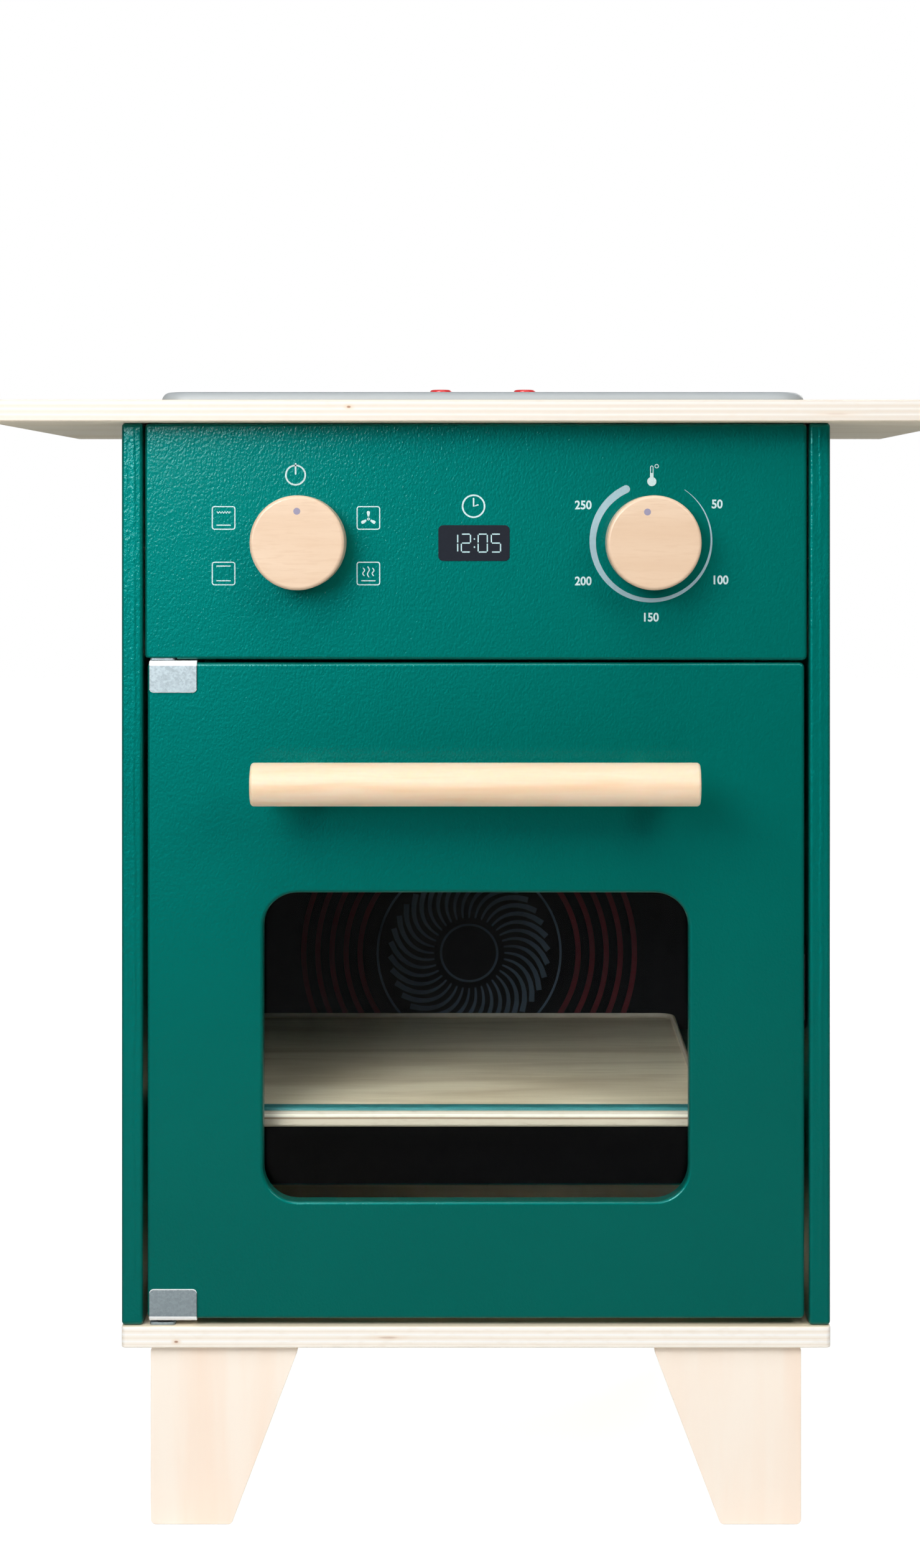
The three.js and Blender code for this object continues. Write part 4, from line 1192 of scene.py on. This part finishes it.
def make_prints():
    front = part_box("control_panel")[0].y
    level = (0, front + PRINT_SUNK, 0)
    mesh = bmesh.new()
    icons = (add_grill_icon, add_fan_icon, add_bake_icon, add_steam_icon)
    places = [(column, row) for row in ICON_ROWS for column in ICON_COLUMNS]
    for add_icon, centre in zip(icons, places):
        add_icon_frame(mesh, centre)
        add_icon(mesh, centre)
    add_power_symbol(mesh)
    add_clock_symbol(mesh)
    add_thermometer(mesh)
    piece("panel_symbols", mesh, "ink", facing=FACING_FRONT, at=level)
    mesh = bmesh.new()
    add_dial(mesh)
    piece("temperature_scale", mesh, "scale", facing=FACING_FRONT, at=level)
    for text, (across, up) in NUMBERS.items():
        place = Matrix.Translation((across * MM, front, up * MM)) @ FACING_FRONT.to_4x4()
        mounted(f"number_{text}", number_mesh(text), "cabinet", matrix=place)
    make_display(front)


# A dark printed sheet on the inside of the back, with a plain fan outlet and heater bars; its
# near-black is partly painted shade
SHEET_SIZE = (300 * MM, 306 * MM)
SHEET_AT = (0, 248 * MM)
SHEET_CORNER = 4 * MM
SHEET_THICKNESS = 0.3 * MM
VENT_CENTRE = (-6 * MM, 226 * MM)
VENT_RADIUS = 52 * MM
VENT_HUB_RADIUS = 16 * MM
VENT_LINE = 1.3 * MM
VENT_SLOTS = 36
VENT_SLOT_STEPS = 8
VENT_SLOT_FROM = 20 * MM
VENT_SLOT_TO = 45 * MM
VENT_SWEEP = 28
HEATER_RADII = (62, 70, 78, 86, 94)
HEATER_STEPS = 24
HEATER_LINE = 3 * MM
HEATER_HALF_ANGLE = 36


def make_back_print():
    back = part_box("back_panel")[0].y
    # The sheet's near-black is partly painted shade: darker than the printed sheet itself
    sheet = board_solid(rectangle(*SHEET_SIZE, SHEET_CORNER, SHEET_AT), SHEET_THICKNESS, 0.05 * MM)
    piece("back_sheet", sheet, "sheet", facing=FACING_FRONT, at=(0, back + PRINT_SUNK, 0))
    level = (0, back - SHEET_THICKNESS + 2 * PRINT_SUNK, 0)
    mesh = bmesh.new()
    for radius in (VENT_RADIUS, VENT_HUB_RADIUS):
        add_circle_line(mesh, VENT_CENTRE, radius, VENT_LINE)
    steps = shares(VENT_SLOT_STEPS)
    for slot in range(VENT_SLOTS):
        points = [polar(VENT_CENTRE, VENT_SLOT_FROM + (VENT_SLOT_TO - VENT_SLOT_FROM) * share,
                        slot * 360 / VENT_SLOTS + VENT_SWEEP * share ** 2) for share in steps]
        add_ribbon(mesh, points, [(1.0 + 2.2 * share) * MM for share in steps])
    piece("fan_print", mesh, "vent", facing=FACING_FRONT, at=level)
    mesh = bmesh.new()
    for radius in HEATER_RADII:
        for middle in (-90, 90):
            points = [polar(VENT_CENTRE, radius * MM, middle + HEATER_HALF_ANGLE * (2 * share - 1))
                      for share in shares(HEATER_STEPS)]
            add_ribbon(mesh, points, HEATER_LINE)
    piece("heater_print", mesh, "heater", facing=FACING_FRONT, at=level)


# Hob plate
HOB_CORNER = 15 * MM
HOB_ROUND = 4 * MM
HOB_WALL = 2.4 * MM
HOB_RECESS_GAP = 0.3 * MM
HOB_RECESS_CHAMFER = 0.35 * MM
DISC_ROUND = 0.4 * MM
DISC_RING_RADII = (47 * MM, 24 * MM)
DISC_RING_WIDTH = 0.8 * MM
BUTTON_RADIUS = 5.3 * MM
BUTTON_STEM_RADIUS = 1.5 * MM
BUTTON_FLANGE = 1 * MM
BUTTON_CAP_HEIGHT = 4.5 * MM
BUTTON_TOP_ROUND = 1.1 * MM
BUTTON_DISH = 0.25 * MM


def hob_shell(hob):
    """A shallow moulded shell with soft edges, open below, with recesses for discs and buttons."""
    size = hob.size
    outline = rectangle(size.x, size.y, HOB_CORNER, segments=2 * CORNER_SEGMENTS)
    mesh = bmesh.new()
    edge = [(HOB_ROUND * (1 - math.cos(angle)), size.z - HOB_ROUND * (1 - math.sin(angle)))
            for angle in quarter()]
    close(mesh, [add_ring(mesh, outline.ring(inset), height) for inset, height in [(0, 0), *edge]])
    inside = rectangle(size.x - 2 * HOB_WALL, size.y - 2 * HOB_WALL, HOB_CORNER - HOB_WALL)
    cutters = [board_solid(inside, 2 * (size.z - HOB_WALL), HOB_WALL / 4, base=HOB_WALL - size.z)]
    for node in ("hotplate_left", "hotplate_right", "hob_button_left", "hob_button_right"):
        part = Box(node)
        is_disc = node.startswith("hotplate")
        radius = (part.size.x / 2 if is_disc else BUTTON_RADIUS) + HOB_RECESS_GAP
        floor = part.low.z - hob.low.z - HOB_RECESS_GAP / 3 if is_disc else 0
        cutter = turned_solid([(radius, floor), (radius, size.z - HOB_RECESS_CHAMFER),
                               (radius + 2 * HOB_RECESS_CHAMFER, size.z + HOB_RECESS_CHAMFER)])
        offset = part.centre - hob.centre
        offset.z = 0
        cutter.transform(Matrix.Translation(offset))
        cutters.append(cutter)
    return carve(mesh, *cutters)


def make_hotplate(side):
    """A glossy disc with two thin printed rings."""
    node = f"hotplate_{side}"
    box = Box(node)
    radius = box.size.x / 2
    profile = [(radius, 0), *arc(radius - DISC_ROUND, box.size.z - DISC_ROUND, DISC_ROUND, 0, 90)]
    finished(node, turned_solid(profile), "disc", at=box.foot)
    rings = bmesh.new()
    for ring_radius in DISC_RING_RADII:
        add_circle_line(rings, (0, 0), ring_radius, DISC_RING_WIDTH)
    piece(f"{node}_rings", rings, "ring", at=box.foot + Vector((0, 0, box.size.z - PRINT_SUNK)))


def make_hob_button(side):
    """A round cap with a shallow dish, on a flange and a stem."""
    node = f"hob_button_{side}"
    box = Box(node)
    flange_radius, height = box.size.x / 2, box.size.z
    flange_top = height - BUTTON_CAP_HEIGHT
    edge = BUTTON_TOP_ROUND
    profile = [(BUTTON_STEM_RADIUS, 0), (BUTTON_STEM_RADIUS, flange_top - BUTTON_FLANGE),
               (flange_radius, flange_top - BUTTON_FLANGE), (flange_radius, flange_top),
               (BUTTON_RADIUS, flange_top), *arc(BUTTON_RADIUS - edge, height - edge, edge, 0, 90),
               (BUTTON_RADIUS * 0.6, height - BUTTON_DISH * 0.7),
               (BUTTON_RADIUS * 0.3, height - BUTTON_DISH)]
    finished(node, turned_solid(profile, 2 * SMALL_SEGMENTS), "red", at=box.foot)


def make_button_spring(side):
    """The button's spring, a finished copy of the CAD spring."""
    node = f"button_spring_{side}"
    mesh = bmesh.new()
    mesh.from_mesh(frame["nodes"][node].data)
    spring = finished(node, mesh, "steel")
    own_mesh(spring)


def make_hob():
    hob = Box("hob_housing")
    finished("hob_housing", hob_shell(hob), "hob", at=hob.foot)
    for side in ("left", "right"):
        make_hotplate(side)
        make_hob_button(side)
        make_button_spring(side)
    eased("hob_tub", "hob", 0.3 * MM)
    eased("battery_cover", "hob", 0.4 * MM)
    eased("circuit_board", "circuit", 0.15 * MM)


def make_catch():
    eased("magnet_catch", "dark", 0.4 * MM)
    dress("catch_magnet", "steel")


# Studio
def background_share(nodes, behind):
    """1 for rays that show the background: straight, through glass, or in gloss from behind."""
    path = nodes.node("ShaderNodeLightPath").outputs
    gloss = nodes.times(path["Is Glossy Ray"], nodes.times(behind, BEHIND_IN_GLOSS))
    shown = nodes.math("MAXIMUM", path["Is Camera Ray"], path["Is Transmission Ray"])
    direct = nodes.math("LESS_THAN", path["Diffuse Depth"], 0.5)
    return nodes.times(nodes.math("MAXIMUM", shown, gloss), direct)


def make_floor():
    """Pale paper that fades to the white background away from the object and its shadow."""
    bpy.ops.mesh.primitive_plane_add(size=FLOOR_SIZE, location=(0, 0, -FLOOR_GAP))
    floor = bpy.context.object
    floor.name = "floor"
    look = Look("floor_paper", FLOOR_PAPER, 0.9, specular=0.0)
    glossy = look.node("ShaderNodeLightPath").outputs["Is Glossy Ray"]
    look.color(look.mix(glossy, FLOOR_COLOR, FLOOR_COLOR_IN_GLOSS))
    behind = look.step(look.axis("Y"), -BEHIND_FADE, BEHIND_FADE)
    far = look.step(look.length(look.place), FLOOR_NEAR, FLOOR_FAR)
    glow = look.math("MULTIPLY_ADD", far, FLOOR_GLOW_FAR - FLOOR_GLOW_NEAR, FLOOR_GLOW_NEAR)
    strength = look.times(background_share(look, behind), glow)
    look.set({"Emission Color": WHITE, "Emission Strength": strength})
    floor.data.materials.append(look.material)


def make_world():
    """White behind the object, and a dim even room for what the surfaces receive and reflect."""
    world = bpy.data.worlds.new("studio")
    bpy.context.scene.world = world
    world.use_nodes = True
    nodes = Nodes(world.node_tree)
    nodes.tree.nodes.clear()
    direction = nodes.node("ShaderNodeTexCoord").outputs["Generated"]
    behind = nodes.step(nodes.part(direction, "Y"), -BEHIND_FADE, BEHIND_FADE)
    glossy = nodes.node("ShaderNodeLightPath").outputs["Is Glossy Ray"]
    level = nodes.math("MULTIPLY_ADD", glossy, ROOM_IN_GLOSS - ROOM_LIGHT, ROOM_LIGHT)
    white = nodes.node("ShaderNodeBackground", {"Color": WHITE})
    room = nodes.node("ShaderNodeBackground", {"Color": WHITE, "Strength": level})
    shown = nodes.node("ShaderNodeMixShader", {
        0: background_share(nodes, behind), 1: room.outputs[0], 2: white.outputs[0],
    })
    nodes.node("ShaderNodeOutputWorld", {"Surface": shown.outputs[0]})


def make_lamp(name, place, size, power, color=WARM_WHITE):
    lamp = bpy.data.lights.new(name, "AREA")
    lamp.shape = "SQUARE"
    lamp.size = size
    lamp.energy = power
    lamp.color = color
    holder = placed(name, lamp)
    holder.location = place
    holder.rotation_euler = (LAMP_TARGET - Vector(place)).to_track_quat("-Z", "Y").to_euler()
    return holder


def make_lamps():
    """Softboxes, and a card that shows only as the sheen of glossy surfaces."""
    for name, values in LAMPS.items():
        make_lamp(name, *values)
    make_lamp("sheen_card", *SHEEN_CARD).visible_diffuse = False


def make_camera():
    camera = bpy.data.cameras.new("camera")
    camera.sensor_width = SENSOR_WIDTH
    camera.lens = SENSOR_WIDTH * FOCAL_PX / FRAME_HEIGHT_PX
    camera.shift_x = (FRAME_WIDTH_PX / 2 - LOOKS_AT_PX[0]) / FRAME_HEIGHT_PX
    camera.shift_y = (LOOKS_AT_PX[1] - FRAME_HEIGHT_PX / 2) / FRAME_HEIGHT_PX
    camera.clip_start = 0.05
    camera.clip_end = 50
    holder = placed("camera", camera)
    holder.location = CAMERA_AT
    holder.rotation_euler = (math.pi / 2, 0, 0)
    bpy.context.scene.camera = holder
    bpy.context.scene.view_settings.view_transform = "Standard"


for make in (make_cabinet, make_legs, make_knobs, make_door, make_handle, make_hinges, make_tray,
             make_prints, make_back_print, make_hob, make_catch,
             make_floor, make_world, make_lamps, make_camera):
    make()
